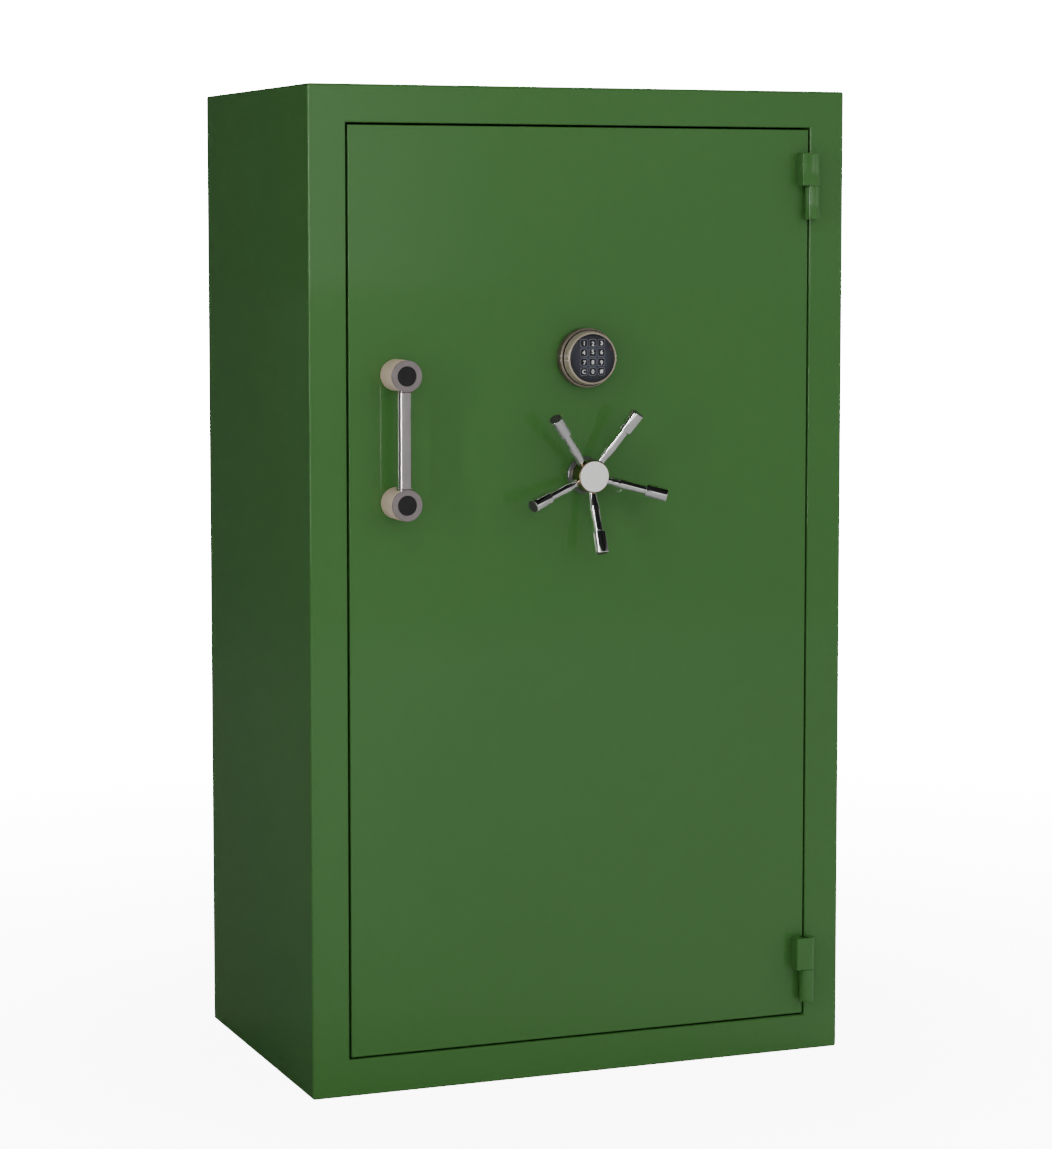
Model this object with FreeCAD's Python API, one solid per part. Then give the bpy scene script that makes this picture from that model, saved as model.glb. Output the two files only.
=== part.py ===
"""Gun safe: a welded steel cabinet with a fire lining and a fitted interior, and a flush door on
two barrel hinges. The door carries a round keypad with twelve keys, a five-spoke handle, a pull
handle, and rack-and-pinion boltwork that throws bolts to the left, up and down.

Units are millimetres. +Z is up, +X is to the right of someone facing the door and the door faces -Y.
The origin is the centre of the footprint, on the floor. Lengths named "p" stand out from the door's
front face. At rest the door is shut and the bolts are withdrawn.
"""
import FreeCAD, Part
import math
import os
from FreeCAD import Vector

# Cabinet
HEIGHT = 1505.0
WIDTH = 870.0
DEPTH = 535.0
SHEET = 4.0                     # steel of the shell panels and the front frame
EDGE_R = 3.9                    # bend radius of the shell's outer edges
BOARD = 25.0                    # fireboard between the shell and the lining
LINING = 7.0                    # carpeted lining panels
LINER = 2.0                     # steel that covers the fireboard beside the bolts
SIDE_BORDER = 58.0              # front frame, from the outer edge to the opening
END_BORDER = 56.5               # the same at the top and the bottom
JAMB_DEPTH = 34.0               # how far the frame returns into the opening
JAMB_R = 3.0                    # bend radius at the opening's front edge
LINING_FRONT = 77.5             # from the front face to where the lining begins

FRONT = -DEPTH / 2
REAR = DEPTH / 2
HALF_W = WIDTH / 2
OPEN_X = HALF_W - SIDE_BORDER
OPEN_LOW = END_BORDER
OPEN_HIGH = HEIGHT - END_BORDER
INNER_X = HALF_W - SHEET - BOARD
INNER_LOW = SHEET + BOARD
INNER_HIGH = HEIGHT - SHEET - BOARD
LINING_Y = FRONT + LINING_FRONT
LINED_REAR = REAR - SHEET - BOARD
ROOM_X = INNER_X - LINING
ROOM_LOW = INNER_LOW + LINING
ROOM_HIGH = INNER_HIGH - LINING
ROOM_REAR = LINED_REAR - LINING

# Floor anchors
ANCHOR_X = 300.0
ANCHOR_Y = 170.0
ANCHOR_R = 8.0
ANCHOR_ACCESS_R = 17.0          # hole through the fireboard and carpet, for a washer and nut

# Interior fittings
FITTING_FRONT = -120.0          # front edge of the shelves and the divider
SHELF_T = 18.0
DIVIDER_X = 20.0                # left face of the divider
DIVIDER_T = 16.0
TOP_SHELF_Z = 1166.0
HALF_SHELF_Z = (300.0, 580.0, 860.0)
STANDARD_T = 2.5                # slotted steel strips that carry the half shelves
STANDARD_W = 16.0
STANDARD_Y = (-80.0, 190.0)
RACK_REST_Z = 960.0
RACK_REST_T = 25.0
RACK_REST_FRONT = 95.0
BARREL_SLOTS = 6
BARREL_SLOT_W = 40.0
BARREL_SLOT_L = 60.0

# Door
GAP = 3.0
PLATE_T = 12.0
DOOR_X = OPEN_X - GAP
DOOR_LOW = OPEN_LOW + GAP
DOOR_HIGH = OPEN_HIGH - GAP
PLATE_BACK = FRONT + PLATE_T
PAN_INSET = 13.0                # pan walls, in from the door plate's edges
PAN_T = 3.0
PAN_BACK = FRONT + 97.5
PAN_FLANGE = 15.0
PAN_X = DOOR_X - PAN_INSET
PAN_LOW = DOOR_LOW + PAN_INSET
PAN_HIGH = DOOR_HIGH - PAN_INSET
DOOR_BOARD_T = 18.5
WORK_PLATE_T = 3.0
WORK_FRONT = PLATE_BACK + DOOR_BOARD_T
WORK_BACK = WORK_FRONT + WORK_PLATE_T      # the face that the boltwork stands on
BACK_PANEL_T = 8.0

# Hinges: axis just in front of the gap, so that the door opens flat
HINGE_R = 11.7
HINGE_CLEAR = 0.5
HINGE_X = OPEN_X - GAP / 2
HINGE_Y = FRONT - HINGE_R - HINGE_CLEAR
HINGE_LENGTH = 102.0
HINGE_LOW = (82.0, 1308.0)      # lower end of each hinge
HINGE_COLLAR = 1.2              # thrust collar between the two knuckles
LEAF_W = 22.0
PIN_R = 6.35
PIN_CLEAR = 0.05
PIN_REACH = 40.0                # pin length each side of the collar

# Bolts and boltwork
BOLT_R = 12.7
BOLT_CLEAR = 0.05
BOLT_Y = FRONT + 51.5
BOLT_LENGTH = 47.0
BOLT_PROUD = 4.0                # a withdrawn bolt's end, out from the pan
BOLT_ENGAGE = 18.0              # a fixed bolt's end, past the opening's edge
SIDE_BOLT_Z = (230.0, 575.0, 920.0, 1265.0)
END_BOLT_X = (-220.0, 220.0)
SPIGOT_R = 6.0                  # reduced end that goes through the bar and is riveted over
SPIGOT_HEAD = (9.0, 4.0)        # radius and height of the riveted end
BAR_T = 8.0
BAR_FRONT = BOLT_Y - 15.0
SIDE_BAR_BACK = BOLT_Y + 15.0
GUIDE_T = 6.0

MODULE = 2.0
TEETH = 19
PRESSURE = math.radians(20.0)
BACKLASH = 0.3
PITCH_R = MODULE * TEETH / 2
RACK_BODY = 10.0                # rack's height behind the tooth roots
SIDE_RACK_Y = (FRONT + 43.5, FRONT + 53.5)
END_RACK_Y = (FRONT + 65.5, FRONT + 75.5)
RACK_END = 44.0                 # how far each rack runs past the pinion's centre
HANDLE_Z = 922.5
SPINDLE_R = 8.0
BUSH_T = 3.0

# Lock
KEYPAD_Z = 1100.0
LEAD_Z = KEYPAD_Z + 20.0        # where the keypad's lead goes through the door
LEAD_R = 2.2
LEAD_HOLE_R = 4.0
LOCK_W = 62.0
LOCK_H = 84.0
LOCK_T = 28.0
LOCK_BOLT_W = 10.0
LOCK_BOLT_T = 8.0
LOCK_BOLT_H = 36.0
LOCK_ARM_W = 14.0
LOCK_ARM_X = 7.9                # left edge of the arm with the bolts withdrawn
LOCK_Z = KEYPAD_Z - LOCK_H / 2

# Keypad
BASE_R = 45.0
BASE_RIM_P = 12.5               # the base's straight rim ends here, and its shoulder ends at BASE_P
BASE_P = 17.0
BASE_SHOULDER_R = 42.4
NECK_R = 38.5
HOUSING_R = 41.0
HOUSING_FRONT_R = 39.2
FACE_R = 36.4
HOUSING_BACK_P = 19.0
KEYPAD_P = 34.0
BATTERY = (48.5, 26.5, 17.5)
BATTERY_BACK_P = 2.8
FACE_P = (29.5, 33.2)
KEY_PITCH = 14.2
KEY_SIZE = 9.8
KEY_GAP = 0.3
KEY_R = 2.0
KEY_P = (27.9, 34.2)
KEY_FLANGE = 12.0
KEY_FLANGE_T = 1.4
KEY_ROWS = (("1", "2", "3"), ("4", "5", "6"), ("7", "8", "9"), ("clear", "0", "enter"))
KEYS_CENTRE_Z = KEYPAD_Z + 1.5

# Pull handle
POST_X = -302.0
POST_Z = (889.5, 1079.0)
POST_R = 23.5
POST_P = 54.0
CAP_R = 14.6
CAP_T = 4.0
BAR_P = 40.0
BAR_R = 11.3
BAR_BITE = 8.5                  # how far the bar enters each post

# Spoke handle
ROSETTE_R = 28.0
ROSETTE_P = 9.0
HUB_R = 24.5
HUB_BACK_R = 22.0
HUB_P = (10.0, 40.0)
HUB_CAP_R = 23.0
HUB_CAP_P = 42.5
SPOKES = 5
LOWEST_SPOKE = 177.5            # degrees clockwise from straight up, seen from the front
SPOKE_ROOT = (14.0, 26.0)       # radius and p of the spoke's root, inside the hub
SPOKE_TIP = (114.5, 60.0)
# Turned profile of a spoke: share of its length, radius
SPOKE_PROFILE = ((0.0, 6.2), (0.16, 6.4), (0.36, 8.0), (0.42, 7.8), (0.62, 6.9), (0.68, 7.2))
GRIP_START = 0.69
GRIP_R = 11.0
GRIP_CHAMFER = 1.0


def out(p):
    """Y of a plane that stands p out from the door's front face."""
    return FRONT - p


def box(x, y, z):
    """Box from three (low, high) pairs."""
    size = [high - low for low, high in (x, y, z)]
    return Part.makeBox(*size, Vector(x[0], y[0], z[0]))


def rod(start, end, radius):
    """Cylinder from one point to another."""
    way = Vector(*end) - Vector(*start)
    return Part.makeCylinder(radius, way.Length, Vector(*start), way)


def frame(half_x, low, high, y, wall):
    """Rectangular ring about the vertical centre line, with its wall inside the given outline."""
    outer = box((-half_x, half_x), y, (low, high))
    inner = box((-half_x + wall, half_x - wall), y, (low + wall, high - wall))
    return outer.cut(inner)


def edges_where(shape, test):
    return [e for e in shape.Edges if test(e)]


def lies_on(edge, axis, value):
    """True if both ends of an edge have this coordinate on this axis."""
    return all(abs(getattr(v.Point, axis) - value) < 1e-4 for v in edge.Vertexes)


def turned(profile, z, x=0.0):
    """Solid turned about an axis that runs along Y, from (radius, p) corners."""
    points = [Vector(x + r, out(p), z) for r, p in profile]
    face = Part.Face(Part.makePolygon(points + [points[0]]))
    return face.revolve(Vector(x, 0, z), Vector(0, 1, 0), 360)


def save(name, *solids):
    """Writes one STEP for a sub-part that is one or more separate solids."""
    shape = solids[0] if len(solids) == 1 else Part.makeCompound(list(solids))
    for solid in shape.Solids:
        if not solid.isValid() or solid.Volume <= 0:
            raise ValueError(f"{name} holds a bad solid")
    shape.exportStep(f"parts/{name}.step")


# ---------------------------------------------------------------- cabinet

def front_frame():
    """Front border with rounded outer edges, and its return into the door opening."""
    plate = box((-HALF_W, HALF_W), (FRONT, FRONT + SHEET), (0, HEIGHT))
    corners = edges_where(plate, lambda e: any(lies_on(e, "x", s * HALF_W) for s in (-1, 1))
                          and any(lies_on(e, "z", z) for z in (0, HEIGHT)))
    plate = plate.makeFillet(EDGE_R, corners)
    rim = edges_where(plate, lambda e: lies_on(e, "y", FRONT))
    plate = plate.makeFillet(EDGE_R, rim)
    jamb = box((-OPEN_X - SHEET, OPEN_X + SHEET), (FRONT, FRONT + JAMB_DEPTH),
               (OPEN_LOW - SHEET, OPEN_HIGH + SHEET))
    opening = box((-OPEN_X, OPEN_X), (FRONT - 1, FRONT + JAMB_DEPTH + 1), (OPEN_LOW, OPEN_HIGH))
    shape = plate.fuse(jamb).cut(opening).removeSplitter()
    lip = edges_where(shape, lambda e: lies_on(e, "y", FRONT) and abs(e.Vertexes[0].X) < OPEN_X + 1
                      and OPEN_LOW - 1 < e.Vertexes[0].Z < OPEN_HIGH + 1)
    return shape.makeFillet(JAMB_R, lip)


def side_panel(side):
    """Left (-1) or right (+1) shell panel, rounded along its outer edges."""
    x = sorted((side * HALF_W, side * (HALF_W - SHEET)))
    shape = box(x, (FRONT + SHEET, REAR), (0, HEIGHT))
    outer = edges_where(shape, lambda e: lies_on(e, "x", side * HALF_W)
                        and not lies_on(e, "y", FRONT + SHEET))
    back = edges_where(shape, lambda e: lies_on(e, "y", REAR)
                       and any(lies_on(e, "z", z) for z in (0, HEIGHT)))
    return shape.makeFillet(EDGE_R, outer + back)


def end_panel(low, outer_z):
    """Top or bottom shell panel between the sides, rounded along its rear edge."""
    x = HALF_W - SHEET
    shape = box((-x, x), (FRONT + SHEET, REAR), (low, low + SHEET))
    rear = edges_where(shape, lambda e: lies_on(e, "y", REAR) and lies_on(e, "z", outer_z))
    return shape.makeFillet(EDGE_R, rear)


def drill_anchors(shape, radius):
    for x in (-ANCHOR_X, ANCHOR_X):
        for y in (-ANCHOR_Y, ANCHOR_Y):
            shape = shape.cut(rod((x, y, -1), (x, y, ROOM_LOW + 1), radius))
    return shape


def cabinet_shell():
    save("front_frame", front_frame())
    save("side_panels", side_panel(-1), side_panel(1))
    save("top_panel", end_panel(HEIGHT - SHEET, HEIGHT))
    save("bottom_panel", drill_anchors(end_panel(0, 0), ANCHOR_R))
    x = HALF_W - SHEET
    save("rear_panel", box((-x, x), (REAR - SHEET, REAR), (SHEET, HEIGHT - SHEET)))
    save("jamb_liner", frame(INNER_X, INNER_LOW, INNER_HIGH, (FRONT + SHEET, LINING_Y), LINER))


def fire_lining():
    """Fireboard inside every shell panel."""
    x = HALF_W - SHEET
    y = (FRONT + SHEET, REAR - SHEET)
    floor = drill_anchors(box((-x, x), y, (SHEET, INNER_LOW)), ANCHOR_ACCESS_R)
    top = box((-x, x), y, (INNER_HIGH, HEIGHT - SHEET))
    left = box((-x, -INNER_X), y, (INNER_LOW, INNER_HIGH))
    right = box((INNER_X, x), y, (INNER_LOW, INNER_HIGH))
    rear = box((-INNER_X, INNER_X), (LINED_REAR, REAR - SHEET), (INNER_LOW, INNER_HIGH))
    save("fireboard_lining", floor, top, left, right, rear)


def carpet_lining():
    y = (LINING_Y, LINED_REAR)
    floor = drill_anchors(box((-INNER_X, INNER_X), y, (INNER_LOW, ROOM_LOW)), ANCHOR_ACCESS_R)
    top = box((-INNER_X, INNER_X), y, (ROOM_HIGH, INNER_HIGH))
    left = box((-INNER_X, -ROOM_X), y, (ROOM_LOW, ROOM_HIGH))
    right = box((ROOM_X, INNER_X), y, (ROOM_LOW, ROOM_HIGH))
    rear = box((-ROOM_X, ROOM_X), (ROOM_REAR, LINED_REAR), (ROOM_LOW, ROOM_HIGH))
    save("carpet_panels", floor, top, left, right, rear)


def interior_fittings():
    deep = (FITTING_FRONT, ROOM_REAR)
    right_face = DIVIDER_X + DIVIDER_T
    save("center_divider", box((DIVIDER_X, right_face), deep, (ROOM_LOW, TOP_SHELF_Z)))

    clear = 0.5
    shelf_x = (right_face + STANDARD_T + clear, ROOM_X - STANDARD_T - clear)
    full = box((-ROOM_X + clear, ROOM_X - clear), deep, (TOP_SHELF_Z, TOP_SHELF_Z + SHELF_T))
    halves = [box(shelf_x, deep, (z, z + SHELF_T)) for z in HALF_SHELF_Z]
    save("shelves", full, *halves)

    hardware = []
    bracket_l, bracket_w, bracket_h = 24.0, 12.0, 10.0
    for wall, way in ((right_face, 1), (ROOM_X, -1)):
        for y in STANDARD_Y:
            strip = sorted((wall, wall + way * STANDARD_T))
            across = (y - STANDARD_W / 2, y + STANDARD_W / 2)
            hardware.append(box(strip, across, (ROOM_LOW, TOP_SHELF_Z)))
            tongue = sorted((wall + way * STANDARD_T, wall + way * (STANDARD_T + bracket_l)))
            narrow = (y - bracket_w / 2, y + bracket_w / 2)
            hardware += [box(tongue, narrow, (z - bracket_h, z)) for z in HALF_SHELF_Z]
    cleat_z = (TOP_SHELF_Z - bracket_h, TOP_SHELF_Z)
    hardware.append(box((-ROOM_X, -ROOM_X + bracket_l), (STANDARD_Y[0], STANDARD_Y[1]), cleat_z))
    save("shelf_standards", *hardware)

    rest_x = (-ROOM_X, DIVIDER_X)
    rest = box(rest_x, (RACK_REST_FRONT, ROOM_REAR), (RACK_REST_Z, RACK_REST_Z + RACK_REST_T))
    pitch = (rest_x[1] - rest_x[0]) / BARREL_SLOTS
    z = (RACK_REST_Z - 1, RACK_REST_Z + RACK_REST_T + 1)
    half = BARREL_SLOT_W / 2
    for i in range(BARREL_SLOTS):
        x = rest_x[0] + pitch * (i + 0.5)
        end_y = RACK_REST_FRONT + BARREL_SLOT_L - half
        rest = rest.cut(box((x - half, x + half), (RACK_REST_FRONT - 1, end_y), z))
        rest = rest.cut(rod((x, end_y, z[0]), (x, end_y, z[1]), half))
    save("barrel_rest", rest)


# ---------------------------------------------------------------- hinges

def hinge_parts():
    door, body, pins = [], [], []
    half = (HINGE_LENGTH - HINGE_COLLAR) / 2
    cap = 8.0
    for low in HINGE_LOW:
        split = low + half
        top_low = split + HINGE_COLLAR
        top = low + HINGE_LENGTH
        at = (HINGE_X, HINGE_Y)

        barrel = rod((*at, top_low), (*at, top), HINGE_R)
        leaf = box((HINGE_X - LEAF_W, HINGE_X), (HINGE_Y - HINGE_R, FRONT), (top_low, top))
        corner = edges_where(leaf, lambda e: lies_on(e, "x", HINGE_X - LEAF_W)
                             and lies_on(e, "y", HINGE_Y - HINGE_R))
        leaf = leaf.makeFillet(1.5, corner)
        bore = rod((*at, top_low - 1), (*at, top - cap), PIN_R + PIN_CLEAR)
        door.append(barrel.fuse(leaf).cut(bore).removeSplitter())

        barrel = rod((*at, low), (*at, split), HINGE_R)
        foot = box((HINGE_X + GAP / 2 + JAMB_R, HINGE_X + HINGE_R), (HINGE_Y, FRONT), (low, split))
        bore = rod((*at, split - PIN_REACH), (*at, split + 1), PIN_R)
        body.append(barrel.fuse(foot).cut(bore).removeSplitter())

        pin = rod((*at, split - PIN_REACH), (*at, top_low + PIN_REACH), PIN_R)
        collar = rod((*at, split), (*at, top_low - PIN_CLEAR), HINGE_R - 1)
        pins.append(pin.fuse(collar).removeSplitter())
    save("door_knuckles", *door)
    save("body_knuckles", *body)
    save("hinge_pins", *pins)


# ---------------------------------------------------------------- door

def drill_door(shape):
    """Holes for the handle spindle with its bush, and for the keypad's lead."""
    for z, radius in ((HANDLE_Z, SPINDLE_R + BUSH_T), (LEAD_Z, LEAD_HOLE_R)):
        shape = shape.cut(rod((0, FRONT - 1, z), (0, WORK_BACK + 1, z), radius))
    return shape


def bolt_bores(shape, radius):
    """Bores for all the bolts through a ring round the boltwork."""
    for z in SIDE_BOLT_Z:
        shape = shape.cut(rod((-DOOR_X, BOLT_Y, z), (DOOR_X, BOLT_Y, z), radius))
    for x in END_BOLT_X:
        shape = shape.cut(rod((x, BOLT_Y, DOOR_LOW), (x, BOLT_Y, DOOR_HIGH), radius))
    return shape


def door_plate():
    plate = box((-DOOR_X, DOOR_X), (FRONT, PLATE_BACK), (DOOR_LOW, DOOR_HIGH))
    rim = edges_where(plate, lambda e: lies_on(e, "y", FRONT))
    return drill_door(plate.makeFillet(1.5, rim))


def door_pan():
    """Steel box frame on the plate's back, with a flange that the back panel is screwed to."""
    walls = frame(PAN_X, PAN_LOW, PAN_HIGH, (PLATE_BACK, PAN_BACK), PAN_T)
    flange = frame(PAN_X, PAN_LOW, PAN_HIGH, (PAN_BACK - PAN_T, PAN_BACK), PAN_FLANGE)
    return bolt_bores(walls.fuse(flange).removeSplitter(), BOLT_R + BOLT_CLEAR)


def guide_bars():
    """A thick bar inside each pan wall that guides the bolts, or on the hinge side holds them."""
    y = (WORK_BACK, SIDE_BAR_BACK)
    x = PAN_X - PAN_T
    tall = (SIDE_BOLT_Z[0] - 60, SIDE_BOLT_Z[-1] + 60)
    wide = (END_BOLT_X[0] - 50, END_BOLT_X[1] + 50)
    low = PAN_LOW + PAN_T
    high = PAN_HIGH - PAN_T
    bars = [
        box((-x, -x + GUIDE_T), y, tall),
        box((x - GUIDE_T, x), y, tall),
        box(wide, y, (low, low + GUIDE_T)),
        box(wide, y, (high - GUIDE_T, high)),
    ]
    return [bolt_bores(bar, BOLT_R + BOLT_CLEAR) for bar in bars]


def panel_screws():
    """Screws round the edge of the back panel, each with a dished washer under its head."""
    inset = PAN_FLANGE / 2
    xs = [-PAN_X + inset + i * (2 * PAN_X - 2 * inset) / 3 for i in range(4)]
    zs = [PAN_LOW + inset + i * (PAN_HIGH - PAN_LOW - 2 * inset) / 5 for i in range(6)]
    spots = [(x, z) for x in xs for z in zs if x in (xs[0], xs[-1]) or z in (zs[0], zs[-1])]
    back = PAN_BACK + BACK_PANEL_T
    shank_r = 2.5
    screws = []
    for x, z in spots:
        shank = rod((x, PAN_BACK - 6, z), (x, back, z), shank_r)
        head = rod((x, back, z), (x, back + 1.8, z), 6.5)
        screws.append(shank.fuse(head).removeSplitter())
    holes = [rod((x, PAN_BACK - 10, z), (x, back + 1, z), shank_r) for x, z in spots]
    return screws, Part.makeCompound(holes)


def door_leaf():
    screws, holes = panel_screws()
    save("door_plate", door_plate())
    save("door_pan", door_pan().cut(holes))
    save("bolt_guide_bars", *guide_bars(), fixed_bolts())
    inner_x = PAN_X - PAN_T
    inner_z = (PAN_LOW + PAN_T, PAN_HIGH - PAN_T)
    save("door_fireboard", drill_door(box((-inner_x, inner_x), (PLATE_BACK, WORK_FRONT), inner_z)))
    save("boltwork_plate", drill_door(box((-inner_x, inner_x), (WORK_FRONT, WORK_BACK), inner_z)))
    panel = box((-PAN_X, PAN_X), (PAN_BACK, PAN_BACK + BACK_PANEL_T), (PAN_LOW, PAN_HIGH))
    save("door_back_panel", panel.cut(holes))
    save("panel_screws", *screws)


# ---------------------------------------------------------------- boltwork

def bolt(tip, end):
    """Round bolt with a chamfered tip. Its reduced end goes through the bar and is riveted over."""
    shape = rod(tip, end, BOLT_R)
    edge = edges_where(shape, lambda e: e.Closed and (e.Curve.Center - Vector(*tip)).Length < 1e-4)
    shape = shape.makeChamfer(1.5, edge)
    far, head_end = bolt_spigot(tip, end)
    spigot = rod(end, far, SPIGOT_R)
    head = rod(far, head_end, SPIGOT_HEAD[0])
    return shape.fuse([spigot, head]).removeSplitter()


def bolt_spigot(tip, end):
    """Where a bolt's spigot leaves the bar, and where its riveted head ends."""
    way = (Vector(*end) - Vector(*tip)).normalize()
    far = Vector(*end) + way * BAR_T
    return tuple(far), tuple(far + way * SPIGOT_HEAD[1])


def bolt_group(name, pairs):
    """Saves a row of bolts, and returns the holes that their spigots need in the bar."""
    save(name, *[bolt(tip, end) for tip, end in pairs])
    return [rod(end, bolt_spigot(tip, end)[0], SPIGOT_R) for tip, end in pairs]


def rack_outline(first, last, phase):
    """Corners of a rack along its length (u) and across it (v), teeth towards v = 0, pitch line at PITCH_R.
    first and last bound the toothed stretch, and phase is where a tooth gap is centred."""
    pitch = math.pi * MODULE
    slope = math.tan(PRESSURE)
    tip, root = PITCH_R - MODULE, PITCH_R + 1.25 * MODULE
    half = (pitch / 2 - BACKLASH) / 2
    points = []
    count = int(math.floor((last - phase) / pitch - 0.5))
    start = int(math.ceil((first - phase) / pitch - 0.5))
    for k in range(start, count + 1):
        centre = phase + (k + 0.5) * pitch
        wide = half + (root - PITCH_R) * slope
        thin = half - (PITCH_R - tip) * slope
        points += [(centre - wide, root), (centre - thin, tip), (centre + thin, tip), (centre + wide, root)]
    return points, root


def rack(start, end, toothed_from, phase, place, thickness):
    """Flat rack from u = start to end, toothed from toothed_from on. place turns (u, v) into a point."""
    teeth, root = rack_outline(toothed_from, end - 1.5 * MODULE, phase)
    back = root + RACK_BODY
    corners = [(start, root)] + teeth + [(end, root), (end, back), (start, back)]
    points = [place(u, v) for u, v in corners]
    face = Part.Face(Part.makePolygon(points + [points[0]]))
    return face.extrude(Vector(0, thickness, 0))


def pinion():
    """Involute pinion with one tooth straight up, long enough for both layers of racks."""
    base = PITCH_R * math.cos(PRESSURE)
    tip_r = PITCH_R + MODULE
    root_r = PITCH_R - 1.25 * MODULE
    involute = math.tan(PRESSURE) - PRESSURE
    half_angle = math.pi / (2 * TEETH) + involute
    y = SIDE_RACK_Y[0] - 1

    def at(radius, angle):
        return Vector(radius * math.sin(angle), y, HANDLE_Z + radius * math.cos(angle))

    def flank(radius):
        """Angle from the tooth's centre line to its flank at this radius."""
        if radius <= base:
            return half_angle
        roll = math.acos(base / radius)
        return half_angle - (math.tan(roll) - roll)

    steps = [base + (tip_r - base) * i / 4 for i in range(5)]
    edges = []
    for k in range(TEETH):
        mid = 2 * math.pi * k / TEETH
        left = [at(r, mid - flank(r)) for r in steps]
        right = [at(r, mid + flank(r)) for r in steps]
        root_left = at(root_r, mid - half_angle)
        root_right = at(root_r, mid + half_angle)
        next_mid = mid + 2 * math.pi / TEETH
        valley_end = at(root_r, next_mid - half_angle)
        curve_left, curve_right = Part.BSplineCurve(), Part.BSplineCurve()
        curve_left.interpolate(left)
        curve_right.interpolate(right)
        edges += [
            Part.makeLine(root_left, left[0]),
            curve_left.toShape(),
            Part.Arc(left[-1], at(tip_r, mid), right[-1]).toShape(),
            curve_right.toShape(),
            Part.makeLine(right[0], root_right),
            Part.Arc(root_right, at(root_r, (mid + next_mid) / 2), valley_end).toShape(),
        ]
    face = Part.Face(Part.Wire(Part.__sortEdges__(edges)))
    length = END_RACK_Y[1] - SIDE_RACK_Y[0] + 2
    gear = face.extrude(Vector(0, length, 0))
    return gear.cut(rod((0, y - 1, HANDLE_Z), (0, y + length + 1, HANDLE_Z), SPINDLE_R))


def side_boltwork():
    tip = -PAN_X - BOLT_PROUD
    end = tip + BOLT_LENGTH
    holes = bolt_group("side_bolts", [((tip, BOLT_Y, z), (end, BOLT_Y, z)) for z in SIDE_BOLT_Z])
    bar_end = end + BAR_T
    bar = box((end, bar_end), (BAR_FRONT, SIDE_BAR_BACK), (SIDE_BOLT_Z[0] - 30, SIDE_BOLT_Z[-1] + 30))
    thickness = SIDE_RACK_Y[1] - SIDE_RACK_Y[0]
    # A pinion tooth points straight up, so a gap is centred over the axis.
    toothed = rack(bar_end, RACK_END, -20.0, 0.0,
                   lambda u, v: Vector(u, SIDE_RACK_Y[0], HANDLE_Z + v), thickness)
    rack_top = HANDLE_Z + PITCH_R + 1.25 * MODULE + RACK_BODY
    arm = box((LOCK_ARM_X, LOCK_ARM_X + LOCK_ARM_W), SIDE_RACK_Y, (rack_top, LOCK_Z - 3))
    save("side_bolt_bar", bar.fuse([toothed, arm]).removeSplitter().cut(holes))


def end_boltwork():
    thickness = END_RACK_Y[1] - END_RACK_Y[0]
    bar_y = (BAR_FRONT, END_RACK_Y[1])
    bar_x = (END_BOLT_X[0] - 30, END_BOLT_X[1] + 30)
    # A quarter turn from the upright tooth, the nearest tooth centre lies this far below the axis.
    phase = -PITCH_R * (math.ceil(TEETH / 4) * 2 * math.pi / TEETH - math.pi / 2)

    tip = PAN_HIGH + BOLT_PROUD
    end = tip - BOLT_LENGTH
    holes = bolt_group("top_bolts", [((x, BOLT_Y, tip), (x, BOLT_Y, end)) for x in END_BOLT_X])
    bar = box(bar_x, bar_y, (end - BAR_T, end))
    rod_end = end - BAR_T - HANDLE_Z
    toothed = rack(-rod_end, RACK_END, -20.0, -phase,
                   lambda u, v: Vector(v, END_RACK_Y[0], HANDLE_Z - u), thickness)
    save("top_bolt_bar", bar.fuse(toothed).removeSplitter().cut(holes))

    tip = PAN_LOW - BOLT_PROUD
    end = tip + BOLT_LENGTH
    holes = bolt_group("bottom_bolts", [((x, BOLT_Y, tip), (x, BOLT_Y, end)) for x in END_BOLT_X])
    bar = box(bar_x, bar_y, (end, end + BAR_T))
    rod_end = HANDLE_Z - end - BAR_T
    toothed = rack(-rod_end, RACK_END, -20.0, phase,
                   lambda u, v: Vector(-v, END_RACK_Y[0], HANDLE_Z + u), thickness)
    save("bottom_bolt_bar", bar.fuse(toothed).removeSplitter().cut(holes))


def fixed_bolts():
    """Bolts on the hinge side that don't move, and pass behind the frame as the door shuts."""
    tip = OPEN_X + BOLT_ENGAGE
    end = tip - BOLT_LENGTH
    holes = bolt_group("dead_bolts", [((tip, BOLT_Y, z), (end, BOLT_Y, z)) for z in SIDE_BOLT_Z])
    strip = box((end - BAR_T, end), (WORK_BACK, SIDE_BAR_BACK), (SIDE_BOLT_Z[0] - 30, SIDE_BOLT_Z[-1] + 30))
    return strip.cut(holes)


def guide_block(x, z, rack_y, along_x):
    """Block on the boltwork plate with a slot that a rack slides through."""
    clear = 0.3
    thick = RACK_BODY / 2 + clear
    wall = 8.0
    long = 15.0
    y = (WORK_BACK, rack_y[1] + 5.0)
    slot_y = (rack_y[0] - clear, rack_y[1] + clear)
    if along_x:
        block = box((x - long, x + long), y, (z - thick - wall, z + thick + wall))
        return block.cut(box((x - long - 1, x + long + 1), slot_y, (z - thick, z + thick)))
    block = box((x - thick - wall, x + thick + wall), y, (z - long, z + long))
    return block.cut(box((x - thick, x + thick), slot_y, (z - long - 1, z + long + 1)))


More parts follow.
